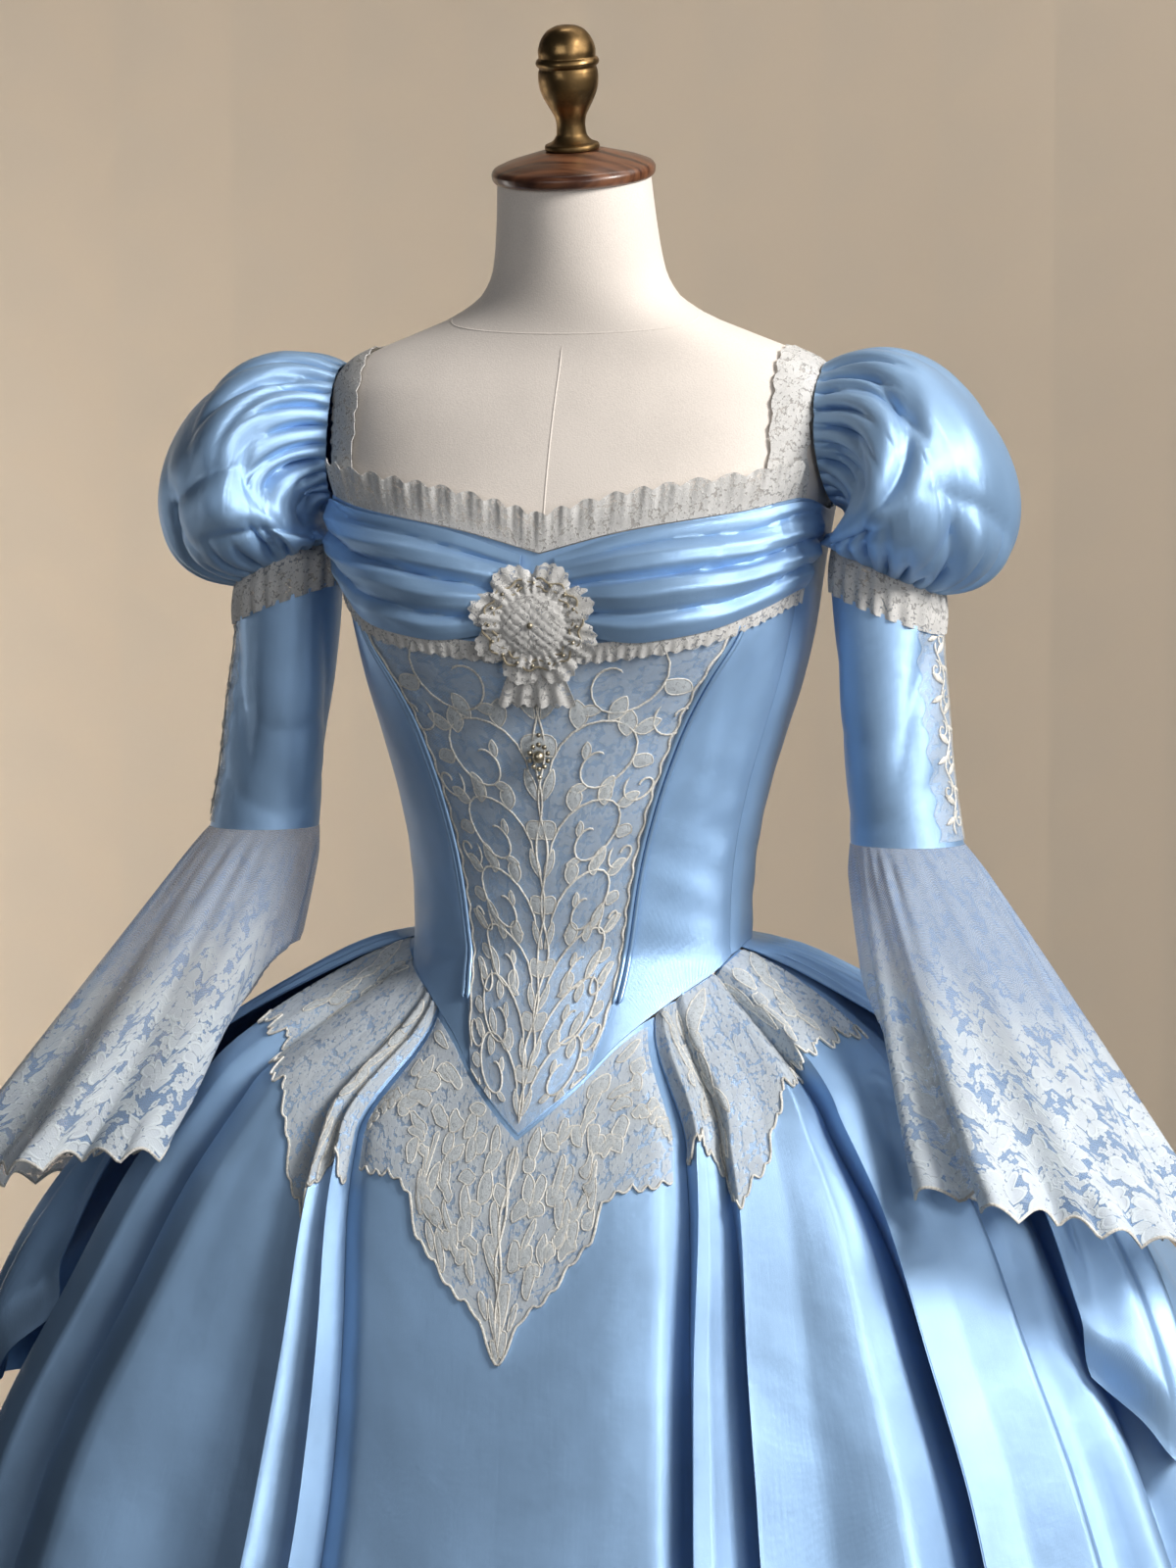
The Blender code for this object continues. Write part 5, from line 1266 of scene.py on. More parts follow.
def form_side(x, z, behind):
    """Y of the form's face at places across and heights, on its front or its back, both of one shape."""
    turns = np.linspace(0, 90, 181)
    lines = form_at((180 - turns if behind else turns)[:, None], z.reshape(1, -1))
    y = [np.interp(at, lines[:, k, 0], lines[:, k, 1]) for k, at in enumerate(x.ravel())]
    return np.reshape(y, x.shape)


def dress_straps(context):
    """Lace straps from the front neckline over each shoulder to the back, on the form's own face: scalloped
    along the outer edge, with small waves along them."""
    thick = settings(context)[1].thickness
    heights = np.linspace(1.4205, 1.4740, 200)
    widths = column(FORM, "half_width", heights) - COVER
    over = np.linspace(0, 1, 61)[None]
    behind = over > 0.5
    foot = np.where(behind, NECKLINE["z"][5] + 0.0012, NECKLINE["z"][3]) + SEAM_GAP
    edge = np.linspace(0, 1, 13)[:, None]
    taper = STRAP_TAPER * np.abs(np.cos(math.pi * over)) ** 3
    scallop = 0.0022 * np.abs(np.sin(math.pi * over * 14)) * (2 * edge - 1) ** 3
    x = STRAP_INNER + edge * (STRAP_OUTER - STRAP_INNER - taper) + scallop - 0.0010
    top = np.interp(-x, -widths, heights) - 0.0004
    z = foot + (top - foot) * np.sin(math.pi * over) ** 0.75
    y = np.where(over == 0.5, 0.0, np.where(behind, form_side(x, z, True), form_side(x, z, False)))
    wave = STRAP_CLEARANCE + 0.0010 + 0.0006 * np.sin(2 * math.pi * over * 28 + 3 * edge)
    for word, side in SIDES:
        base = np.stack([side * x, y, z], -1)
        up = facing(base, normals_of(base), (0, 0, 1.30))
        outer, inner = base + up * (wave[..., None] + thick), base + up * wave[..., None]
        piece = put(f"strap_{word}_lace", [wall(outer, inner)], "edge_lace", f"strap_{word}")


def dress_drapes(context):
    """Gathered satin across each side of the bust: folds that start together at the rosette and spread to the
    armhole, sharper on top than below, with finer ones between. A scalloped edging of lace hangs under it."""
    thick = settings(context)[0].thickness
    for number, (word, side) in enumerate(SIDES):
        angle, share = np.linspace(4.0, DRAPE_END, 80)[:, None], np.linspace(0, 1, 48)[None]
        low, high = by_angle(DRAPE_EDGE, angle), by_angle(NECKLINE, angle) - 0.0020
        pinch = 0.012 * (1 - ease(angle, 4, 26))
        z = (low + pinch) + share * (high - low - 1.25 * pinch)
        swell = 0.35 + 0.65 * ease(angle, 2, 20) * (1 - 0.45 * ease(angle, 60, 76))
        bend = 0.30 * np.sin(np.radians(angle) * 2.2 + number) + 0.05 * np.sin(np.radians(angle) * 9)
        wave = np.abs(np.sin(math.pi * (3.2 * share + bend))) ** 0.75
        fine = 0.5 - 0.5 * np.cos(2 * math.pi * (8.3 * share + 0.7 * np.radians(angle) + number))
        folds = swell * np.sin(math.pi * (0.05 + 0.90 * share)) * (0.0098 * wave + 0.0010 * fine)
        out = 0.0016 + thick + folds
        outer, inner = raised(side * angle, z, out), raised(side * angle, z, out - thick)
        name = f"bust_drape_{word}"
        piece = put(name + "_satin", [wall(outer, inner)], "powder_satin", name)
        angle, share = np.linspace(10.0, DRAPE_END - 1, 220)[:, None], np.linspace(0, 1, 7)[None]
        scallop = 0.0022 * np.abs(np.sin(math.pi * angle / 3.4)) * share**2
        z = by_angle(DRAPE_EDGE, angle) + 0.003 - 0.0115 * share - scallop
        lift = 0.0030 + 0.0006 * np.sin(2 * math.pi * angle / 2.4) * share
        outer, inner = raised(side * angle, z, lift), raised(side * angle, z, lift - 0.0005)
        edging = put(f"drape_edging_{word}", [wall(outer, inner)], "edge_lace")


def ruffle(centre, inner, outer, petals, lift, seed):
    """A ring of rounded petals on the bodice: the edge goes in between them, each petal is cupped and its
    edge is finely waved. Centre is (metres across, height)."""
    turn = np.linspace(0, 2 * math.pi, 28 * petals + 1)[:, None]
    t = np.linspace(0, 1, 9)[None]
    round_edge = np.abs(np.sin(0.5 * petals * turn + seed)) ** 0.45
    edge = 0.72 + 0.28 * round_edge + 0.05 * np.cos(2 * turn + seed) + 0.02 * np.cos(6 * petals * turn)
    radius = inner + (outer * edge - inner) * t
    across, height = centre[0] + radius * np.sin(turn) * ROSETTE_OVAL, centre[1] + radius * np.cos(turn)
    cup = 0.0030 * t**1.5 * (round_edge - 0.5) + 0.0007 * t * np.sin(3 * petals * turn + seed)
    rising = 0.0030 * np.sin(math.pi * (0.15 + 0.6 * t))
    return [raised(across_belly(across), height, lift + cup + rising + out) for out in (0.0005, 0.0)]


def medal(centre, turn):
    """Quilted dome at the rosette's middle: an oval disc, domed as a circle's edge, with crossed waves."""
    t = np.linspace(0.03, 1, 22)[None]
    across, height = centre[0] + 0.0195 * t * np.sin(turn), centre[1] + 0.0215 * t * np.cos(turn)
    crossed = [np.sin(math.pi * line / 0.0062) for line in (across + height, across - height)]
    quilt = 0.0009 * np.abs(crossed[0] * crossed[1]) ** 0.5
    dome = 0.0076 + 0.0080 * np.sqrt(np.maximum(1 - (0.96 * t) ** 2, 0)) + quilt
    return [raised(across_belly(across), height, dome + out) for out in (0.0005, 0.0)]


def tail(centre):
    """Short pleated tail of lace below the rosette, which widens downwards and ends in three arcs."""
    t, u = np.linspace(0, 1, 18)[None], np.linspace(-1, 1, 25)[:, None]
    angle = across_belly(centre[0] + u * (0.012 + 0.010 * t))
    height = 1.2440 - 0.030 * t - 0.003 * np.abs(np.sin(3 * math.pi * u)) * t
    lift = 0.0056 + 0.0016 * np.sin(4 * math.pi * u) * t + 0.0010 * np.sin(math.pi * t)
    return [raised(angle, height, lift + out) for out in (0.0006, 0.0)]


def bead_ring(centre, many, half_width, half_height, lift):
    """Middles of beads set round an oval on the bodice's front."""
    spin = np.arange(many) * 2 * math.pi / many
    across, height = centre[0] + half_width * np.sin(spin), centre[1] + half_height * np.cos(spin)
    return raised(across_belly(across), height, lift)


def dress_ornaments():
    """Rosette of two ruffles of lace round a quilted medal, with rings of gilt cord, beads and a short
    pleated tail, and a brooch of beads below it."""
    centre, turn = (0.001, 1.2660), np.linspace(0, 2 * math.pi, 121)[:, None]
    layers = [
        ruffle(centre, 0.012, 0.0390, 8, 0.0064, 0.4),
        ruffle(centre, 0.010, 0.0300, 9, 0.0086, 1.9),
        medal(centre, turn),
        tail(centre),
    ]
    shapes = [wall(a, b, ring=k < 3) for k, (a, b) in enumerate(layers)]
    petals = put("rosette_petals", shapes, "edge_lace", "bust_rosette")
    turn, cords = np.linspace(0, 2 * math.pi, 97), []
    for radius, lift in ((0.0205, 0.0105), (0.0232, 0.0118), (0.0285, 0.0118)):
        wave = radius * (1 + 0.05 * np.sin(14 * turn))
        angle = across_belly(centre[0] + wave * np.sin(turn) * ROSETTE_OVAL)
        height = centre[1] + wave * np.cos(turn)
        line, up = raised(angle, height, lift), surface_normals(bodice_at, angle, height)
        cords.append(swept(line[None], up[None], 0.0008, 0.0008))
    cord = put("rosette_cord", cords, "gilt_cord")
    spots = bead_ring(centre, 16, 0.0262 * ROSETTE_OVAL, 0.0262, 0.0126)
    middle = bead_ring(centre, 1, 0.0, 0.0, 0.0166)
    globes = beads(np.concatenate([spots, middle]), [0.0013] * 16 + [0.0022])
    put("rosette_beads", [globes], "bead")
    centre = (0.001, 1.1780)
    places = [bead_ring(centre, 10, 0.0058, 0.0082, 0.0048), bead_ring(centre, 1, 0.0, 0.0, 0.0052)]
    places.append(raised(across_belly([0.001, 0.001]), np.array([1.1925, 1.1640]), 0.0040))
    globes = beads(np.concatenate(places), [0.0017] * 10 + [0.0042, 0.0016, 0.0016])
    put("brooch", [globes], "bead", "bodice_brooch")


# ---------------------------------------------------------------- sleeves


def sleeve_at(side, turn, z, out=0.0):
    """Point of a sleeve: turn 0 is the outer side, a quarter turn the front. The outer side hangs lower."""
    radius = column(SLEEVE, "radius", z) + out
    x = column(SLEEVE, "x", z) + radius * np.cos(turn)
    y = column(SLEEVE, "y", z) - radius * np.sin(turn)
    return np.stack([side * x, y, z - column(SLEEVE, "drop", z) * np.cos(turn)], -1)


def puff_grid(side, columns, rows):
    """Balloon of a puff: for each line round it a curve from the armhole to the lace band, which leaves the
    armhole outwards, comes in to the band from outside, and is longest over the shoulder."""
    turn = np.linspace(0, 2 * math.pi, columns + 1)[:, None]
    s = np.linspace(0, 1, rows)[None]
    cosine, sine = np.cos(turn), np.sin(turn)
    zero = 0 * cosine
    start_x = ARMHOLE_X - ARMHOLE_LEAN * (cosine + sine**2)
    start = np.concatenate([start_x, -ARMHOLE_DEPTH * sine, ARMHOLE_Z + ARMHOLE_HEIGHT * cosine], 1)[:, None]
    end = sleeve_at(1, turn[:, 0], BAND_TOP + zero[:, 0])[:, None]
    size = (0.18 + 0.82 * (0.5 + 0.5 * cosine) ** 0.62)[:, None]
    leave = 0.37 * size * np.concatenate([zero + 0.86, -0.62 * sine, 0.50 * cosine], 1)[:, None]
    arrive = -0.34 * size * np.concatenate([cosine, -sine, zero + 0.06], 1)[:, None]
    t = s[..., None]
    points = (
        start * (1 + 2 * t) * (1 - t) ** 2
        + end * (3 - 2 * t) * t**2
        + leave * t * (1 - t) ** 2
        - arrive * (1 - t) * t**2
    )
    points[..., 0] *= side
    return points, turn, s


PUFF_DENTS = {  # turn (degrees), place down the puff, half length and half width, lean, depth in mm
    "left": (
        (70, 0.44, 0.30, 0.085, 0.5, 11.0), (28, 0.66, 0.26, 0.06, -0.35, 8.0),
        (104, 0.70, 0.24, 0.07, 0.2, 8.0), (48, 0.22, 0.22, 0.05, 0.9, 6.5),
        (338, 0.50, 0.30, 0.09, -0.4, 8.0), (88, 0.20, 0.2, 0.04, 1.0, 5.0),
        (52, 0.80, 0.16, 0.05, 0.9, 6.0), (140, 0.42, 0.30, 0.09, 0.5, 8.0),
        (205, 0.6, 0.3, 0.09, 0.0, 6.0), (250, 0.5, 0.3, 0.1, 0.4, 8.0), (300, 0.4, 0.3, 0.08, -0.6, 7.0),
    ),
    "right": (
        (64, 0.50, 0.26, 0.080, -0.6, 10.0), (24, 0.38, 0.28, 0.07, 0.4, 8.0),
        (96, 0.36, 0.22, 0.06, 0.7, 7.5), (345, 0.62, 0.26, 0.07, 0.3, 7.5),
        (78, 0.74, 0.18, 0.05, -0.2, 7.0), (42, 0.68, 0.2, 0.05, 0.8, 6.5),
        (60, 0.22, 0.18, 0.04, 1.1, 5.0), (130, 0.55, 0.3, 0.09, -0.4, 8.0),
        (205, 0.6, 0.3, 0.09, 0.2, 6.0), (245, 0.45, 0.3, 0.1, 0.5, 8.0), (300, 0.5, 0.3, 0.08, -0.5, 7.0),
    ),
}


def dress_puffs(context):
    """Satin puffs: gathers at both ends that fade to the middle, slow waves between, and broad dents from a
    table, each a smooth bell over the turn and the length."""
    cloth = settings(context)[0]
    for word, side in SIDES:
        points, turn, s = puff_grid(side, 182, 60)
        out = facing(points, ring_normals(points), points.mean(axis=(0, 1)))
        near = np.minimum(s, 1 - s)
        uneven = 0.30 * np.sin(3 * turn + side) + 0.22 * np.sin(5 * turn + 2)
        reach = 0.30 + 0.12 * np.sin(4 * turn + 1) + 0.09 * np.sin(9 * turn + 2 * side)
        ends = (1 - ease(near / reach, 0.08, 1.0)) * ease(near, 0.0, 0.025)
        pleat = (1 - np.abs(np.sin(0.5 * cloth.gathers * (turn + 0.06 * uneven) + 0.5 * s))) ** 1.8
        broad = (1 - np.abs(np.sin(3.5 * turn + 1.4 * uneven + 0.8 * s))) ** 2.2
        slow = -0.0095 * (1 - ease(near, 0.22, 0.5)) * ease(near, 0.0, 0.12) * broad
        dents = 0.0
        for at, place, long, wide, lean, deep in PUFF_DENTS[word]:
            first = np.radians((np.degrees(turn) - at + 180) % 360 - 180) * 0.55
            second = s - place
            u = first * math.cos(lean) + second * math.sin(lean)
            v = second * math.cos(lean) - first * math.sin(lean)
            dents = dents - 0.95 * deep / 1000 * np.exp(-((u / long) ** 2) - np.abs(v / wide) ** 1.15)
        creases = ripples(turn * 0.08, s * 0.16, 0.0007, 7 + side, 160.0, 30.0) * ease(near, 0, 0.08)
        move = -0.0088 * ends * pleat + slow + dents + creases
        move[-1] = move[0]
        points = points + out * move[..., None]
        points[-1] = points[0]
        inner = points - facing(points, ring_normals(points), points.mean(axis=(0, 1))) * cloth.thickness
        inner[-1] = inner[0]
        name = f"puff_{word}"
        piece = put(name + "_satin", [wall(points, inner, ring=True)], "powder_satin", name)


def sleeve_ring(side, top, low, columns, rows, wave, thickness):
    """A stretch of the sleeve between two heights, as a ring's outer and inner points."""
    turn = np.linspace(0, 2 * math.pi, columns + 1)[:, None]
    z = np.linspace(low, top, rows)[None]
    out = wave(turn, (z - low) / (top - low))
    grids = [sleeve_at(side, turn, z, out - inset) for inset in (0.0, thickness)]
    for grid in grids:
        grid[-1] = grid[0]
    return grids


def band_wave(turn, t):
    """How far the lace band stands out: gathers round it, weaker towards its top, and a slight swell."""
    gathers = 0.0012 * np.sin(21 * turn + 0.7 * np.sin(4 * turn)) * (1.2 - 0.7 * t)
    return 0.0008 + gathers + 0.0012 * np.sin(math.pi * t)


def sleeve_drag(turn, t):
    """How far the fitted sleeve is set in: long slanting drag lines above, and level ones at the elbow."""
    long = (1 - np.abs(np.sin(1.5 * (turn + 1.4 * t) + 0.4))) ** 1.6 * ease(t, 0.15, 0.5)
    elbow = (1 - np.abs(np.sin(2 * math.pi * (1.4 * (1 - t) + 0.30 * np.cos(turn + 0.9))))) ** 1.4
    low = elbow * (0.5 + 0.5 * np.cos(turn - 2.2)) * (1 - ease(t, 0.25, 0.62))
    return -0.0046 * (long + 0.5 * low) * np.sin(math.pi * np.clip(t, 0, 1)) ** 0.5


def dress_sleeves(context):
    """Lace band gathered under each puff, the fitted sleeve with slanting drag lines, and the galloon with
    its cords along the outer side."""
    cloth, trim, _ = settings(context)
    for word, side in SIDES:
        top, low = BAND_TOP + 0.0015, BAND_LOW - 0.003
        outer, inner = sleeve_ring(side, top, low, 252, 9, band_wave, trim.thickness)
        band = put(f"band_{word}", [wall(outer, inner, ring=True)], "edge_lace", f"puff_band_{word}")
        top, low = BAND_LOW - SEAM_GAP, CUFF + SEAM_GAP
        outer, inner = sleeve_ring(side, top, low, 76, 58, sleeve_drag, cloth.thickness)
        name = f"sleeve_{word}_satin"
        sleeve = put(name, [wall(outer, inner, ring=True)], "powder_satin", f"sleeve_{word}")
        z = np.linspace(CUFF + 0.004, BAND_LOW - 0.004, 90)[None]
        across = np.linspace(-1, 1, 17)[:, None]
        scallop = 1 + 0.11 * np.abs(across) ** 3 * np.cos(2 * math.pi * (z - CUFF) / 0.022)
        turn = np.radians(GALLOON_MIDDLE + GALLOON_HALF * across * scallop)
        lift = sleeve_drag(turn, (z - CUFF) / (BAND_LOW - CUFF)) + 0.0006
        outer, inner = (sleeve_at(side, turn, z, lift + out) for out in (trim.thickness, 0.0))
        galloon = put(f"galloon_{word}", [wall(outer, inner)], "bodice_lace", f"sleeve_lace_{word}")
        work = Panelwork(outer, (side * 0.22, 0, 1.2))
        number = np.arange(7)
        y, swing = 0.014 + 0.0205 * number, np.where(number % 2, 1, -1)
        curls = rows_of(swing * 0.0050, y, 0.0062, 1.6, 1.2, swing)
        leans = np.where(swing > 0, 2.4, 0.7), np.where(swing > 0, 3.4, -0.3)
        leafs = np.concatenate([
            rows_of(swing * 0.002, y + 0.010, 0.013, leans[0], 0.0024, 0.001 * swing),
            rows_of(-swing * 0.001, y + 0.002, 0.012, leans[1], 0.0022, 0.001 * swing),
        ])
        down = np.linspace(0.004, work.down[-1] - 0.004, 80)[None]
        shapes = [
            laid_cords(work, spirals(curls, 26), trim.cord * 0.7, 0.0),
            laid_cords(work, (0.0040 * np.sin(down * 2 * math.pi / 0.041), down), trim.cord * 0.8, 0.0),
            *laid_leaves(work, leafs, 0.0, 0.0010),
        ]
        cords = put(f"galloon_cords_{word}", shapes, "silver_cord")


def clear_of_skirt(points, clearance):
    """The points, with each one that lies within the skirt's outline moved out to it on the level."""
    x, y, z = (points[..., k] for k in range(3))
    room = clearance + SWAG_ROOM * ease(-z, -1.00, -0.86)
    width = column(SKIRT, "half_width", z) + room
    depth = np.where(y < 0, column(SKIRT, "front", z), column(SKIRT, "back", z)) + clearance
    share = np.sqrt((x / width) ** 2 + (y / depth) ** 2)
    push = np.where((share < 1) & (z < SKIRT["z"][-1]), 1 / np.maximum(share, 0.2), 1.0)
    return np.stack([x * push, y * push, z], -1)


def flounce_grid(side, turn, s, waves):
    """Flared ruffle below the elbow: a cone that leans out and forward, waved more towards its hem with finer
    waves between, longer at the outer back, its hem scalloped, and kept outside the skirt."""
    start = np.array([SLEEVE["x"][0], SLEEVE["y"][0], CUFF])
    small = SLEEVE["radius"][0]
    bend = turn + 0.16 * np.sin(2 * turn + 1.3 * side) + 0.08 * np.sin(3 * turn + 0.6)
    uneven = 0.75 + 0.35 * np.sin(3 * turn + side + 1.1 * s)
    folds = 0.0165 * uneven * s**1.2 * np.cos(waves * bend + 0.5 * s)
    fine = 0.0026 * s**1.4 * np.cos(2 * waves * turn + 2.3 * np.sin(2 * turn) + s)
    cuff = np.cos(2 * waves * bend + 2.2 * np.sin(3 * turn))
    cuff = cuff + 0.6 * np.cos(3 * waves * bend + 3.0 * np.sin(2 * turn + 1))
    fine = fine + 0.0014 * cuff * (1 - s) ** 2.2 * ease(s, 0, 0.10)
    scallop = 0.010 * ease(s, 0.80, 1.0) * np.abs(np.sin(1.5 * waves * turn))
    long = 0.052 * (0.5 + 0.5 * np.cos(turn + math.radians(50))) - 0.012
    middle = start + s[..., None] * (np.array(FLOUNCE_CENTRE) - start)
    radius = FLOUNCE_RADIUS * (1 + 0.10 * np.cos(turn + 0.7))
    spread = (small + (radius - small) * s**0.85) + folds + fine
    x = middle[..., 0] + spread * np.cos(turn)
    y = middle[..., 1] - spread * np.sin(turn)
    points = np.stack([x, y, middle[..., 2] - long * s + scallop], -1)
    points = np.where(s[..., None] == 0, sleeve_at(1, turn, CUFF), points)
    points = clear_of_skirt(points, 0.012)
    points[..., 0] *= side
    return points


def dress_flounces(context):
    """Sheer flounces in a front and a back half, whose lace is measured up from the corded hem."""
    waves = settings(context)[0].flounce_waves
    s = np.linspace(0, 1, 42)[None]
    turn = np.linspace(0, 2 * math.pi, 34 * waves + 1)[:, None]
    half = (len(turn) - 1) // 2
    for word, side in SIDES:
        points = flounce_grid(side, turn, s, waves)
        out = ring_normals(points) * -side
        inner = points - out * 0.0005
        inner[-1] = inner[0]
        for part, cut in (("front", slice(0, half + 1)), ("back", slice(half, len(turn)))):
            outer_half, inner_half = trimmed(points[cut]), trimmed(inner[cut])
            uv = on_cloth(outer_half, 26)
            uv[..., 1] += 0.26 - uv[:, -1:, 1]
            name = f"flounce_{part}_{word}"
            sheer = put(name + "_net", [wall(outer_half, inner_half, uv=uv)], "flounce_lace", name)
            hem = swept(outer_half[:, -1][None], out[cut][:, -1][None], 0.0012, 0.0010)
            edge = put(name + "_edge", [hem], "silver_cord")


# ---------------------------------------------------------------- skirt


def skirt_section(angle, z):
    """The skirt's outline without its folds."""
    return oval(SKIRT, angle, z)


def skirt_at(angle, v, top_angle, set_in):
    """Outer face of the skirt: v runs from the waist seam (0) to the hem (1). It leaves the bodice's edge at
    top_angle, reaches the skirt's own section within a few centimetres, and is set in along its normals."""
    angle, v, top_angle = np.broadcast_arrays(angle, v, top_angle)
    start = waist_at(top_angle) - SEAM_GAP
    z = start + (HEM - start) * v
    fade = 1 - ease(v, 0.0, 0.085)
    apart = bodice_at(top_angle, start) - skirt_section(top_angle, start)
    points = skirt_section(angle, z) + apart * fade[..., None]
    points[..., 2] = z
    across = surface_normals(skirt_section, angle, z)
    level = 1 - ease(v, 0.06, 0.20)
    inwards = across * rows_of(1, 1, level)
    inwards /= np.linalg.norm(inwards, axis=-1, keepdims=True)
    points = points - inwards * set_in[..., None]
    across[:, :1] = surface_normals(bodice_at, top_angle[:, :1], start[:, :1])
    return points, across


def fold_tracks(folds, side, v, each):
    """Columns of a folded panel: angle at the waist and, for each row, its angle and how far it is set in."""
    number = np.arange(len(folds["waist"]))
    spots = np.linspace(0, number[-1], each * number[-1] + 1)

    def crisp(values):
        """A mean of straight lines and a smooth curve through the folds' edges."""
        return CRISP * np.interp(spots, number, values) + (1 - CRISP) * through(number, values, spots)

    angle_at = np.array([through(number, folds[k], spots) for k in LEVELS])
    in_at = np.array([crisp(folds[k + "_in"]) for k in LEVELS])
    angle, set_in = through(TRACK_ROWS, angle_at, v).T, through(TRACK_ROWS, in_at, v).T
    return side * angle_at[0][:, None], side * angle, set_in / 1000


def skirt_rows(count):
    """Heights down the skirt, closer together towards the waist."""
    return np.linspace(0, 1, count) ** 1.5


def dented(points, across, rows):
    """Skirt points with smooth dents: each a bell in across and height, along the outward direction. Rows are
    x, z, half width, half height and depth in millimetres, for the front half."""
    x, z = points[..., 0], points[..., 2]
    move = 0.0
    for at_x, at_z, wide, tall, deep in rows:
        move = move + deep / 1000 * np.exp(-(((x - at_x) / wide) ** 2) - ((z - at_z) / tall) ** 2)
    move = move * (points[..., 1] < 0.05)
    return points - across * np.asarray(move)[..., None]


SIDE_DENTS = (  # x, height, half width, half height, depth in mm; those below are folds that stand out
    (0.215, 0.66, 0.030, 0.060, 5.0),
    (0.300, 0.60, 0.028, 0.050, 5.0),
    (0.330, 0.50, 0.045, 0.030, 4.0),
    (0.235, 0.42, 0.030, 0.090, 3.5),
    (0.420, 0.44, 0.030, 0.120, 4.0),
    (-0.250, 0.56, 0.030, 0.060, 9.0),
    (-0.330, 0.38, 0.040, 0.050, 8.0),
    (-0.360, 0.30, 0.080, 0.012, 5.0),
    (-0.310, 0.20, 0.030, 0.080, 4.0),
    (-0.240, 0.66, 0.022, 0.050, 3.0),
)


def side_panel(side):
    """Outer face of a pleated side panel: the folds of its table, the cloth's unevenness, and dents."""
    v = skirt_rows(PANEL_ROWS)
    top, angle, set_in = fold_tracks(FOLDS[side], side, v, 9)
    across, length = angle / 57.3 * 0.45, v[None] * 0.95
    uneven = ripples(across, length, 0.0010, 21 + side, 46.0, 8.0)
    uneven = uneven + ripples(across, length, 0.0007, 31 + side, 20.0, 26.0)
    set_in = set_in + uneven * ease(v, 0.02, 0.3)[None] * (top != top[0]) * (top != top[-1])
    points, across = skirt_at(angle, v[None], top, set_in)
    return dented(points, across, SIDE_DENTS), across


def front_panel():
    """Outer face of the front panel: between the first folds of both sides, tucked in at its edges, with soft
    waves and the cloth's unevenness."""
    v = skirt_rows(PANEL_ROWS)
    _, left, left_in = fold_tracks(LEFT_FOLDS, LEFT, v, 1)
    _, right, right_in = fold_tracks(RIGHT_FOLDS, RIGHT, v, 1)
    number = np.arange(len(FRONT["share"]))
    spots = np.linspace(0, number[-1], FRONT_EACH * number[-1] + 1)
    top, low, edge, wave = (
        through(number, FRONT[name], spots)[:, None] for name in ("top", "share", "edge", "wave")
    )
    at_waist = (top - right[0, 0]) / (left[0, 0] - right[0, 0])
    share = at_waist + (low - at_waist) * ease(v, 0.0, 0.10)[None]
    angle = right[:1] + share * (left[:1] - right[:1])
    set_in = edge * right_in[:1] + edge[::-1] * left_in[:1] + wave / 1000 * ease(v, 0.2, 0.6)[None]
    uneven = ripples(share * 0.34, v[None], 0.0011, 3, 44.0, 6.0)
    uneven = uneven + ripples(share * 0.34, v[None], 0.0006, 4, 16.0, 30.0)
    set_in = set_in + uneven * ease(v, 0.0, 0.3)[None] * ease(np.minimum(low, 1 - low), 0.0, 0.06)
    return skirt_at(angle, v[None], top, set_in)


def underskirt(side):
    """Outer face of the underskirt, from the last fold of the side panel to the centre back: even folds under
    the swag, set further in than the side panel and reaching the hem."""
    folds, v = FOLDS[side], skirt_rows(96)[None]
    share = np.linspace(0, 1, 12 * BACK_FOLDS + 1)[:, None]
    first = through(TRACK_ROWS, np.array([folds[k][-1] for k in LEVELS]), v)
    angle = first + share * (180.0 - first)
    top = folds["waist"][-1] + share * (180.0 - folds["waist"][-1])
    last_in = through(TRACK_ROWS, np.array([folds[k + "_in"][-1] for k in LEVELS]), v)
    bend = share + 0.010 * np.sin(5 * share * math.pi + 4 * v) * np.sin(math.pi * share)
    fold = 0.5 + 0.5 * np.cos(2 * math.pi * BACK_FOLDS * bend)
    deep = fold**1.3 * (0.001 + 0.037 * ease(v, 0.0, 0.55)) * (0.85 + 0.15 * np.sin(9 * share + side))
    inside = 0.0026 + UNDER_SET_IN * ease(v, -0.012, 0.062) * (1 - 0.6 * ease(v, 0.35, 0.6))
    near_front = 1 - ease(share, 0.0, 0.10)
    uneven = ripples(share * 1.1, v, 0.0012, 51 + side, 30.0, 10.0) * ease(v, 0.05, 0.3)
    set_in = near_front * last_in / 1000 + (1 - near_front) * (deep + inside + uneven * (share < 1))
    return skirt_at(side * angle, v, side * top, set_in)


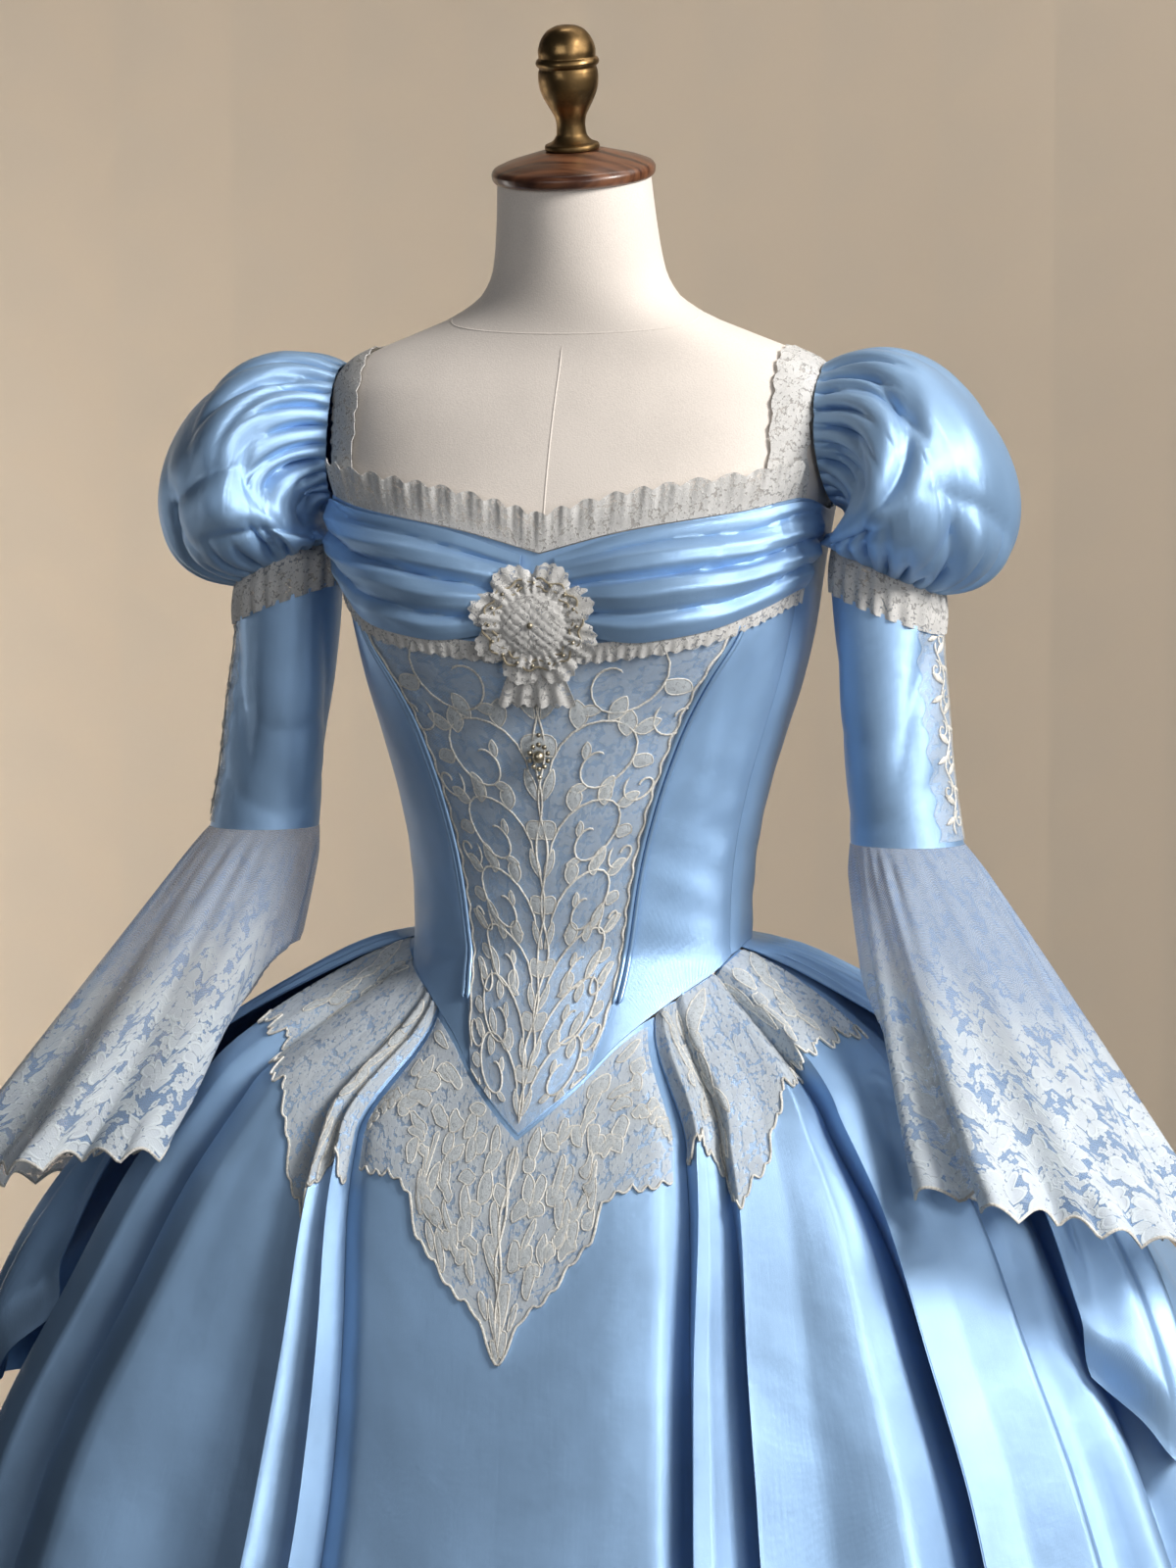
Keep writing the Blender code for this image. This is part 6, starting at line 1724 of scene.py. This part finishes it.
def swag(side):
    """Outer face of the looped overskirt: it puffs out over the hip and the back, with soft slanting folds
    that deepen towards the loop, finer ones between, and its lower edge is drawn up at the side and turned
    in."""
    share = np.linspace(0, 1, 116)[:, None]
    s = (np.linspace(0, 1, 60) ** 1.2)[None]
    names = ("angle_waist", "angle_low", "z_low", "puff")
    top, low, end, puff = (column(SWAG, name, share, "round") for name in names)
    start = waist_at(top) - SEAM_GAP
    inside = ease(share, 0, 0.12) * (1 - ease(share, 0.90, 1.0))
    end = end + 0.006 * np.sin(2 * math.pi * 5.3 * share + 0.8) * inside
    v = s * (start - end) / (start - HEM)
    angle = top + (low - top) * ease(s, 0.0, 1.0)
    folds = 0.0120 * np.sin(2 * math.pi * (3.4 * share + 1.1 * s)) * ease(s, 0.20, 0.8) * inside
    finer = 0.0056 * np.sin(2 * math.pi * (8.3 * share + 1.9 * s) + 2 * np.sin(5 * share))
    finer = finer * ease(s, 0.15, 0.7) * inside
    gathers = 0.0022 * np.sin(2 * math.pi * 34 * share) * (1 - ease(s, 0.02, 0.35)) * ease(s, 0.0, 0.03)
    out = puff * ease(s, 0.05, 0.85) + folds + finer + gathers - 0.016 * ease(s, 0.84, 1.0)
    return skirt_at(side * angle, v, side * top, -out)


def along_panel(points, across):
    """Normals of a skirt panel's folded face, on the same side as the skirt's own."""
    out = normals_of(points)
    return out * np.sign((out * across).sum())


def skirt_piece(name, grid, thick):
    """One piece of skirt cloth: the outer face and an inner one moved in along the folded face's normals."""
    points, across = grid
    out = along_panel(points, across)
    out[:, 0] = across[:, 0]
    faces = trimmed(points), trimmed(points - out * thick)
    put(name + "_satin", [wall(*faces)], "powder_satin", name)


def dress_skirt(context):
    """The skirt's front and side panels, the underskirt behind them, and the swags looped up over it."""
    thick = settings(context)[0].thickness
    skirt_piece("skirt_front", front_panel(), thick)
    for word, side in SIDES:
        skirt_piece(f"skirt_side_{word}", side_panel(side), thick)
        skirt_piece(f"underskirt_{word}", underskirt(side), thick)
        skirt_piece(f"overskirt_swag_{word}", swag(side), thick)


# ---------------------------------------------------------------- lace on the skirt


def laid_lace(panel, columns, v, lift, thick):
    """Part of a skirt panel's grid as a lace's outer and inner points: columns are fractional column numbers,
    v the places down the skirt for each, and the result is moved out along the panel's normals."""
    points, across = panel
    b = np.interp(v, skirt_rows(PANEL_ROWS), np.arange(PANEL_ROWS))
    a = np.broadcast_to(np.clip(columns[:, None], 0, len(points) - 1.001), b.shape)
    b = np.clip(b, 0, points.shape[1] - 1.001)
    base, up = mixed(points, a, b), mixed(along_panel(points, across), a, b)
    up /= np.linalg.norm(up, axis=-1, keepdims=True)
    return base + up * (lift + thick), base + up * lift


def leafy(reach, room, length, apex):
    """Leaves for a piece of lace: staggered rows of them that spread from a place above its top, each turned,
    sized and bent a little by sines of its number, within the piece's outline."""
    level, place = np.meshgrid(np.arange(14), np.arange(-8, 9), indexing="ij")
    number = 17 * level + place
    x = (place + 0.5 * (level % 2)) * 0.0205 + 0.0024 * np.sin(2.3 * number)
    y = 0.006 + 0.0150 * level + 0.0026 * np.sin(3.1 * number) - 0.10 * np.abs(x)
    lean = np.arctan2(y + apex, x) + 0.60 * np.sin(1.7 * number)
    size = 0.0245 + 0.0050 * np.sin(2.9 * number)
    inside = (np.abs(x) < reach * room(y)) & (y > 0.002) & (y < length - 0.028)
    return rows_of(x, y, size, lean, 0.0056 + 0.0010 * np.sin(number), 0.006 * np.sin(5 * number))[inside]


POINT_LACE = (  # how far down the point's lace reaches (0 waist, 1 hem), from its middle to its sides
    (0, 0.05, 0.13, 0.26, 0.36, 0.46, 0.53, 0.62, 0.76, 0.88, 1.0),
    (0.160, 0.146, 0.128, 0.120, 0.108, 0.101, 0.080, 0.083, 0.092, 0.094, 0.088),
)
HIP_LACE = {  # how far down each hip's lace reaches (0 waist, 1 hem), from the front seam to the back
    "left": (
        (0, 0.10, 0.24, 0.36, 0.44, 0.52, 0.7, 1),
        (0.085, 0.070, 0.095, 0.118, 0.095, 0.060, 0.045, 0.040),
    ),
    "right": (
        (0, 0.12, 0.25, 0.36, 0.44, 0.52, 0.75, 1),
        (0.110, 0.085, 0.115, 0.150, 0.115, 0.070, 0.050, 0.045),
    ),
}


def dress_point(trim):
    """The deep scalloped point of lace on the front panel, with a stem, leaves and a corded edge: the leaves
    fill its middle, and larger ones stand in a row along its edge."""
    number = np.arange(len(FRONT["share"]))
    columns = np.linspace(0.45 * FRONT_EACH, (number[-1] - 0.45) * FRONT_EACH, 110)
    share = np.interp(columns / FRONT_EACH, number, FRONT["share"])
    across = np.abs(2 * share - 1)
    drop = through(*POINT_LACE, across) + 0.0050 * np.abs(np.sin(across * math.pi / 0.085))
    drop = drop + 0.002 * np.sin(23 * share)
    v = PEPLUM_TOP + np.linspace(0, 1, 62)[None] * (drop - PEPLUM_TOP)[:, None]
    outer, inner = laid_lace(front_panel(), columns, v, 0.0007, trim.thickness)
    net = put("peplum_front_net", [wall(outer, inner)], "skirt_lace", "peplum_lace_front")
    work = Panelwork(outer, (0, 0.3, 0.8))
    length = work.down[-1]

    def room(y):
        """Half width that the inner leaves may fill."""
        return 0.34 * np.interp(y, work.down, work.widths) * (1 - 0.5 * ease(y, 0.3 * length, length))

    down = np.linspace(0.004, length - 0.006, 70)[None]
    stems = np.stack([0.0026 * np.sin(down[0] * 90 + phase) for phase in (0.0, math.pi)])
    many, places = 52, np.linspace(0, 1, len(outer))
    x, y = (np.interp(np.linspace(0.02, 0.98, many), places, reach) for reach in (work.reach_x, work.reach_y))
    swing = np.where(np.arange(many) % 2, 0.75, 1.15)
    leafs = np.concatenate([
        leafy(1.25, room, length, 0.055),
        [(0.0, length - 0.030, 0.022, math.pi / 2, 0.004, 0.0)],
        rows_of(x * 0.93, y - 0.017 * swing, 0.0165 * swing, np.arctan2(0.040, x), 0.0050, 0),
    ])
    shapes = [
        laid_cords(work, (stems, np.repeat(down, 2, 0)), trim.cord, 0.0),
        laid_cords(work, leaves(leafs), trim.cord * 0.65, 0.0),
        swept(outer[:, -1][None], work.out[:, -1][None], trim.cord, trim.cord),
    ]
    relief = put("peplum_cords", shapes, "silver_cord")
    filling = put("peplum_leaves", laid_leaves(work, leafs, 0.0, 0.0007), "leaf_net")


def dress_hip(name, word, panel, first, last, many, trim):
    """A part of the lace over one hip, between two shares of the side panel's width: a scalloped lower edge
    with a cord, and leaves where the lace is deep enough for them."""
    place = np.linspace(first, last, many)
    scallop = 0.007 * np.abs(np.sin(15 * math.pi * place)) + 0.004 * np.abs(np.sin(37 * math.pi * place))
    low = (through(*HIP_LACE[word], place) + scallop)[:, None]
    v = HIP_LACE_TOP + np.linspace(0, 1, 26)[None] * (low - HIP_LACE_TOP)
    columns = 2.1 + place * (len(panel[0]) - 5.0)
    outer, inner = laid_lace(panel, columns, v, 0.0006, trim.thickness)
    net = put(name, [wall(outer, inner)], "skirt_lace", f"peplum_lace_{word}")
    work = Panelwork(outer, (0, 0, 0.9))
    cords = [swept(outer[:, -1][None], work.out[:, -1][None], trim.cord, trim.cord)]
    half, deep = 0.5 * float(work.widths.min()), float(work.reach_y.max())
    rows = leafy(0.96, lambda y: half, deep, 0.30)
    rows = rows[rows[:, 1] < np.interp(rows[:, 0], *work.hem()) - 0.024]
    filling = []
    if len(rows):
        cords.append(laid_cords(work, leaves(rows), trim.cord * 0.65, 0.0))
        filling = [put(f"{name}_leaves", laid_leaves(work, rows, 0.0, 0.0007), "leaf_net")]
    edge = put(f"{name}_edge", cords, "silver_cord")


def dress_peplum(context):
    """Lace over the top of the skirt: the point on the front panel and two parts over each hip."""
    trim = settings(context)[1]
    dress_point(trim)
    for word, side in SIDES:
        panel = side_panel(side)
        for kind, first, last, many in (("net", 0.0, 0.52, 130), ("band", 0.52, 1.0, 110)):
            dress_hip(f"peplum_{word}_{kind}", word, panel, first, last, many, trim)


# ---------------------------------------------------------------- stage


def shown_from(stage):
    """Camera place and aim: on a sphere round a point on the gown's axis, turned and tilted, with the aim
    moved a hair along the picture's width."""
    turn, tilt = stage.turn, stage.tilt
    aim = Vector((0.0034 * math.cos(turn), 0.0034 * math.sin(turn), 1.15))
    away = Vector((math.sin(turn) * math.cos(tilt), -math.cos(turn) * math.cos(tilt), math.sin(tilt)))
    return aim + away * stage.distance, aim


def stand_at(name, data, place, aim):
    """A camera or lamp at a place, turned towards its aim."""
    seen = bpy.data.objects.new(name, data)
    seen.location = place
    seen.rotation_euler = (Vector(aim) - Vector(place)).to_track_quat("-Z", "Y").to_euler()
    bpy.context.scene.collection.objects.link(seen)
    return seen


LIGHTS = (  # place, aim, width and height, share of the key's power, colour
    ("key", (2.85, -1.10, 2.85), (0.0, 0.0, 0.95), (0.9, 1.1), 1.0, (1.0, 0.97, 0.94)),
    ("side", (2.4, -2.4, 1.5), (0.1, 0.0, 0.6), (1.4, 1.6), 0.15, (0.97, 0.98, 1.0)),
    ("sheen", (-0.3, -2.6, 1.9), (0.0, -0.2, 0.3), (1.6, 1.0), 0.060, (0.97, 0.98, 1.0)),
    ("wall_left", (-1.6, 0.3, 0.9), (-1.2, 1.6, 1.2), (0.8, 1.2), 0.20, (1.0, 0.965, 0.92)),
    ("wall_right", (0.9, 0.5, 2.9), (0.7, 1.6, 1.3), (2.4, 0.5), 0.12, (1.0, 0.965, 0.92)),
)


def backdrop(stage):
    """Sheet of paper that runs level under the gown, curves up a metre and a half behind it and stands there,
    turned to face the camera."""
    turn = np.linspace(0, 1, 80)
    bend = np.clip((turn - 0.5) / 0.1, 0, 1) * math.pi / 2
    run = np.where(turn < 0.5, -4.0 + turn / 0.5 * 5.5, 1.5 + 0.15 * np.sin(bend))
    rise = np.where(turn < 0.5, 0.0, 0.15 * (1.0 - np.cos(bend))) + np.clip((turn - 0.6) / 0.4, 0, 1) * 4.0
    across = np.linspace(-1.5, 1.5, 25)[:, None]
    cosine, sine = math.cos(stage.turn), math.sin(stage.turn)
    outer = rows_of(across * cosine - run * sine, across * sine + run * cosine, rise - 0.0005)
    points, faces, _ = wall(outer, outer - (0, 0, 0.02))
    mesh = bpy.data.meshes.new("backdrop")
    mesh.from_pydata(points.tolist(), [], faces[:, ::-1].tolist())
    mesh.shade_smooth()
    mesh.set_sharp_from_angle(angle=math.radians(40))
    mesh.materials.append(studio("studio_paper", tuple(stage.backdrop)))
    sweep = bpy.data.objects.new("backdrop", mesh)
    bpy.context.scene.collection.objects.link(sweep)


def set_stage(context):
    """The camera, the backdrop, and five area lights: a strong key from high on the wearer's left, two weak
    ones from the front for the sheen of the cloth, and two on the backdrop. The sky is a dim blue."""
    scene, stage = context.scene, context.scene.gown_stage
    camera = bpy.data.cameras.new("camera")
    camera.lens, camera.sensor_width, camera.sensor_fit = stage.lens, 36.0, "AUTO"
    scene.camera = stand_at("camera", camera, *shown_from(stage))
    backdrop(stage)
    for name, place, aim, size, share, colour in LIGHTS:
        light = bpy.data.lights.new(name, "AREA")
        light.shape, light.size, light.size_y = "RECTANGLE", size[0], size[1]
        light.energy, light.color = stage.key * share, colour
        stand_at(name, light, place, aim)
    world = bpy.data.worlds.new("studio")
    world.use_nodes = True
    sky = world.node_tree.nodes["Background"]
    sky.inputs["Color"].default_value = (0.58, 0.66, 0.82, 1.0)
    sky.inputs["Strength"].default_value = 0.030
    scene.world = world
    scene.view_settings.view_transform = "Standard"


# ---------------------------------------------------------------- operators and panel


class GOWN_OT_form(Operator):
    """Linen cover of the dress form with its seam cords"""

    bl_idname = "gown.form"
    bl_label = "Dress form"

    def execute(self, context):
        dress_form()
        return {"FINISHED"}


class GOWN_OT_stand(Operator):
    """Turned cap, spire, pole and foot"""

    bl_idname = "gown.stand"
    bl_label = "Cap and stand"

    def execute(self, context):
        dress_stand(context)
        return {"FINISHED"}


class GOWN_OT_bodice(Operator):
    """Satin panels of the bodice"""

    bl_idname = "gown.bodice"
    bl_label = "Bodice"

    def execute(self, context):
        dress_bodice(context)
        return {"FINISHED"}


class GOWN_OT_stomacher(Operator):
    """Lace and piping of the stomacher"""

    bl_idname = "gown.stomacher"
    bl_label = "Stomacher lace"

    def execute(self, context):
        dress_stomacher(context)
        return {"FINISHED"}


class GOWN_OT_neckline(Operator):
    """Frill and straps of lace"""

    bl_idname = "gown.neckline"
    bl_label = "Frill and straps"

    def execute(self, context):
        dress_frill(context)
        dress_straps(context)
        return {"FINISHED"}


class GOWN_OT_drapes(Operator):
    """Gathered satin across the bust"""

    bl_idname = "gown.drapes"
    bl_label = "Bust drapes"

    def execute(self, context):
        dress_drapes(context)
        return {"FINISHED"}


class GOWN_OT_ornaments(Operator):
    """Rosette and brooch"""

    bl_idname = "gown.ornaments"
    bl_label = "Rosette and brooch"

    def execute(self, context):
        dress_ornaments()
        return {"FINISHED"}


class GOWN_OT_puffs(Operator):
    """Puffs at the shoulders"""

    bl_idname = "gown.puffs"
    bl_label = "Puffs"

    def execute(self, context):
        dress_puffs(context)
        return {"FINISHED"}


class GOWN_OT_sleeves(Operator):
    """Fitted sleeves with their bands and galloons"""

    bl_idname = "gown.sleeves"
    bl_label = "Sleeves"

    def execute(self, context):
        dress_sleeves(context)
        return {"FINISHED"}


class GOWN_OT_flounces(Operator):
    """Sheer flounces with lace borders"""

    bl_idname = "gown.flounces"
    bl_label = "Flounces"

    def execute(self, context):
        dress_flounces(context)
        return {"FINISHED"}


class GOWN_OT_skirt(Operator):
    """Front, side panels, underskirt and looped overskirt"""

    bl_idname = "gown.skirt"
    bl_label = "Skirt"

    def execute(self, context):
        dress_skirt(context)
        return {"FINISHED"}


class GOWN_OT_peplum(Operator):
    """Lace over the top of the skirt"""

    bl_idname = "gown.peplum"
    bl_label = "Peplum lace"

    def execute(self, context):
        dress_peplum(context)
        return {"FINISHED"}


class GOWN_OT_stage(Operator):
    """Backdrop, lights and camera"""

    bl_idname = "gown.stage"
    bl_label = "Stage"

    def execute(self, context):
        set_stage(context)
        return {"FINISHED"}


STEPS = (
    GOWN_OT_form,
    GOWN_OT_stand,
    GOWN_OT_bodice,
    GOWN_OT_stomacher,
    GOWN_OT_neckline,
    GOWN_OT_drapes,
    GOWN_OT_ornaments,
    GOWN_OT_puffs,
    GOWN_OT_sleeves,
    GOWN_OT_flounces,
    GOWN_OT_skirt,
    GOWN_OT_peplum,
    GOWN_OT_stage,
)
GROUPS = (
    ("gown_satin", SatinSettings),
    ("gown_lace", LaceSettings),
    ("gown_form", FormSettings),
    ("gown_stage", StageSettings),
)


class GOWN_PT_sidebar(Panel):
    """Settings and pieces of the gown"""

    bl_label = "Ball gown"
    bl_space_type = "VIEW_3D"
    bl_region_type = "UI"
    bl_category = "Gown"

    def draw(self, context):
        """Each group's settings in a box, and a button for each operator."""
        for name, kind in GROUPS:
            box = self.layout.box()
            for key in kind.__annotations__:
                box.prop(getattr(context.scene, name), key)
        for step in STEPS:
            self.layout.operator(step.bl_idname, text=step.bl_label)


def register():
    """Registers the classes and hangs the settings on the scene."""
    for kind in (*(kind for _, kind in GROUPS), *STEPS, GOWN_PT_sidebar):
        bpy.utils.register_class(kind)
    for name, kind in GROUPS:
        setattr(bpy.types.Scene, name, PointerProperty(type=kind))


def unregister():
    """Takes the settings and the classes away again."""
    for name, _ in GROUPS:
        delattr(bpy.types.Scene, name)
    for kind in (GOWN_PT_sidebar, *reversed(STEPS), *(kind for _, kind in reversed(GROUPS))):
        bpy.utils.unregister_class(kind)


def main():
    """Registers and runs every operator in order."""
    register()
    for step in STEPS:
        area, name = step.bl_idname.split(".")
        getattr(getattr(bpy.ops, area), name)()


if __name__ == "__main__":
    main()
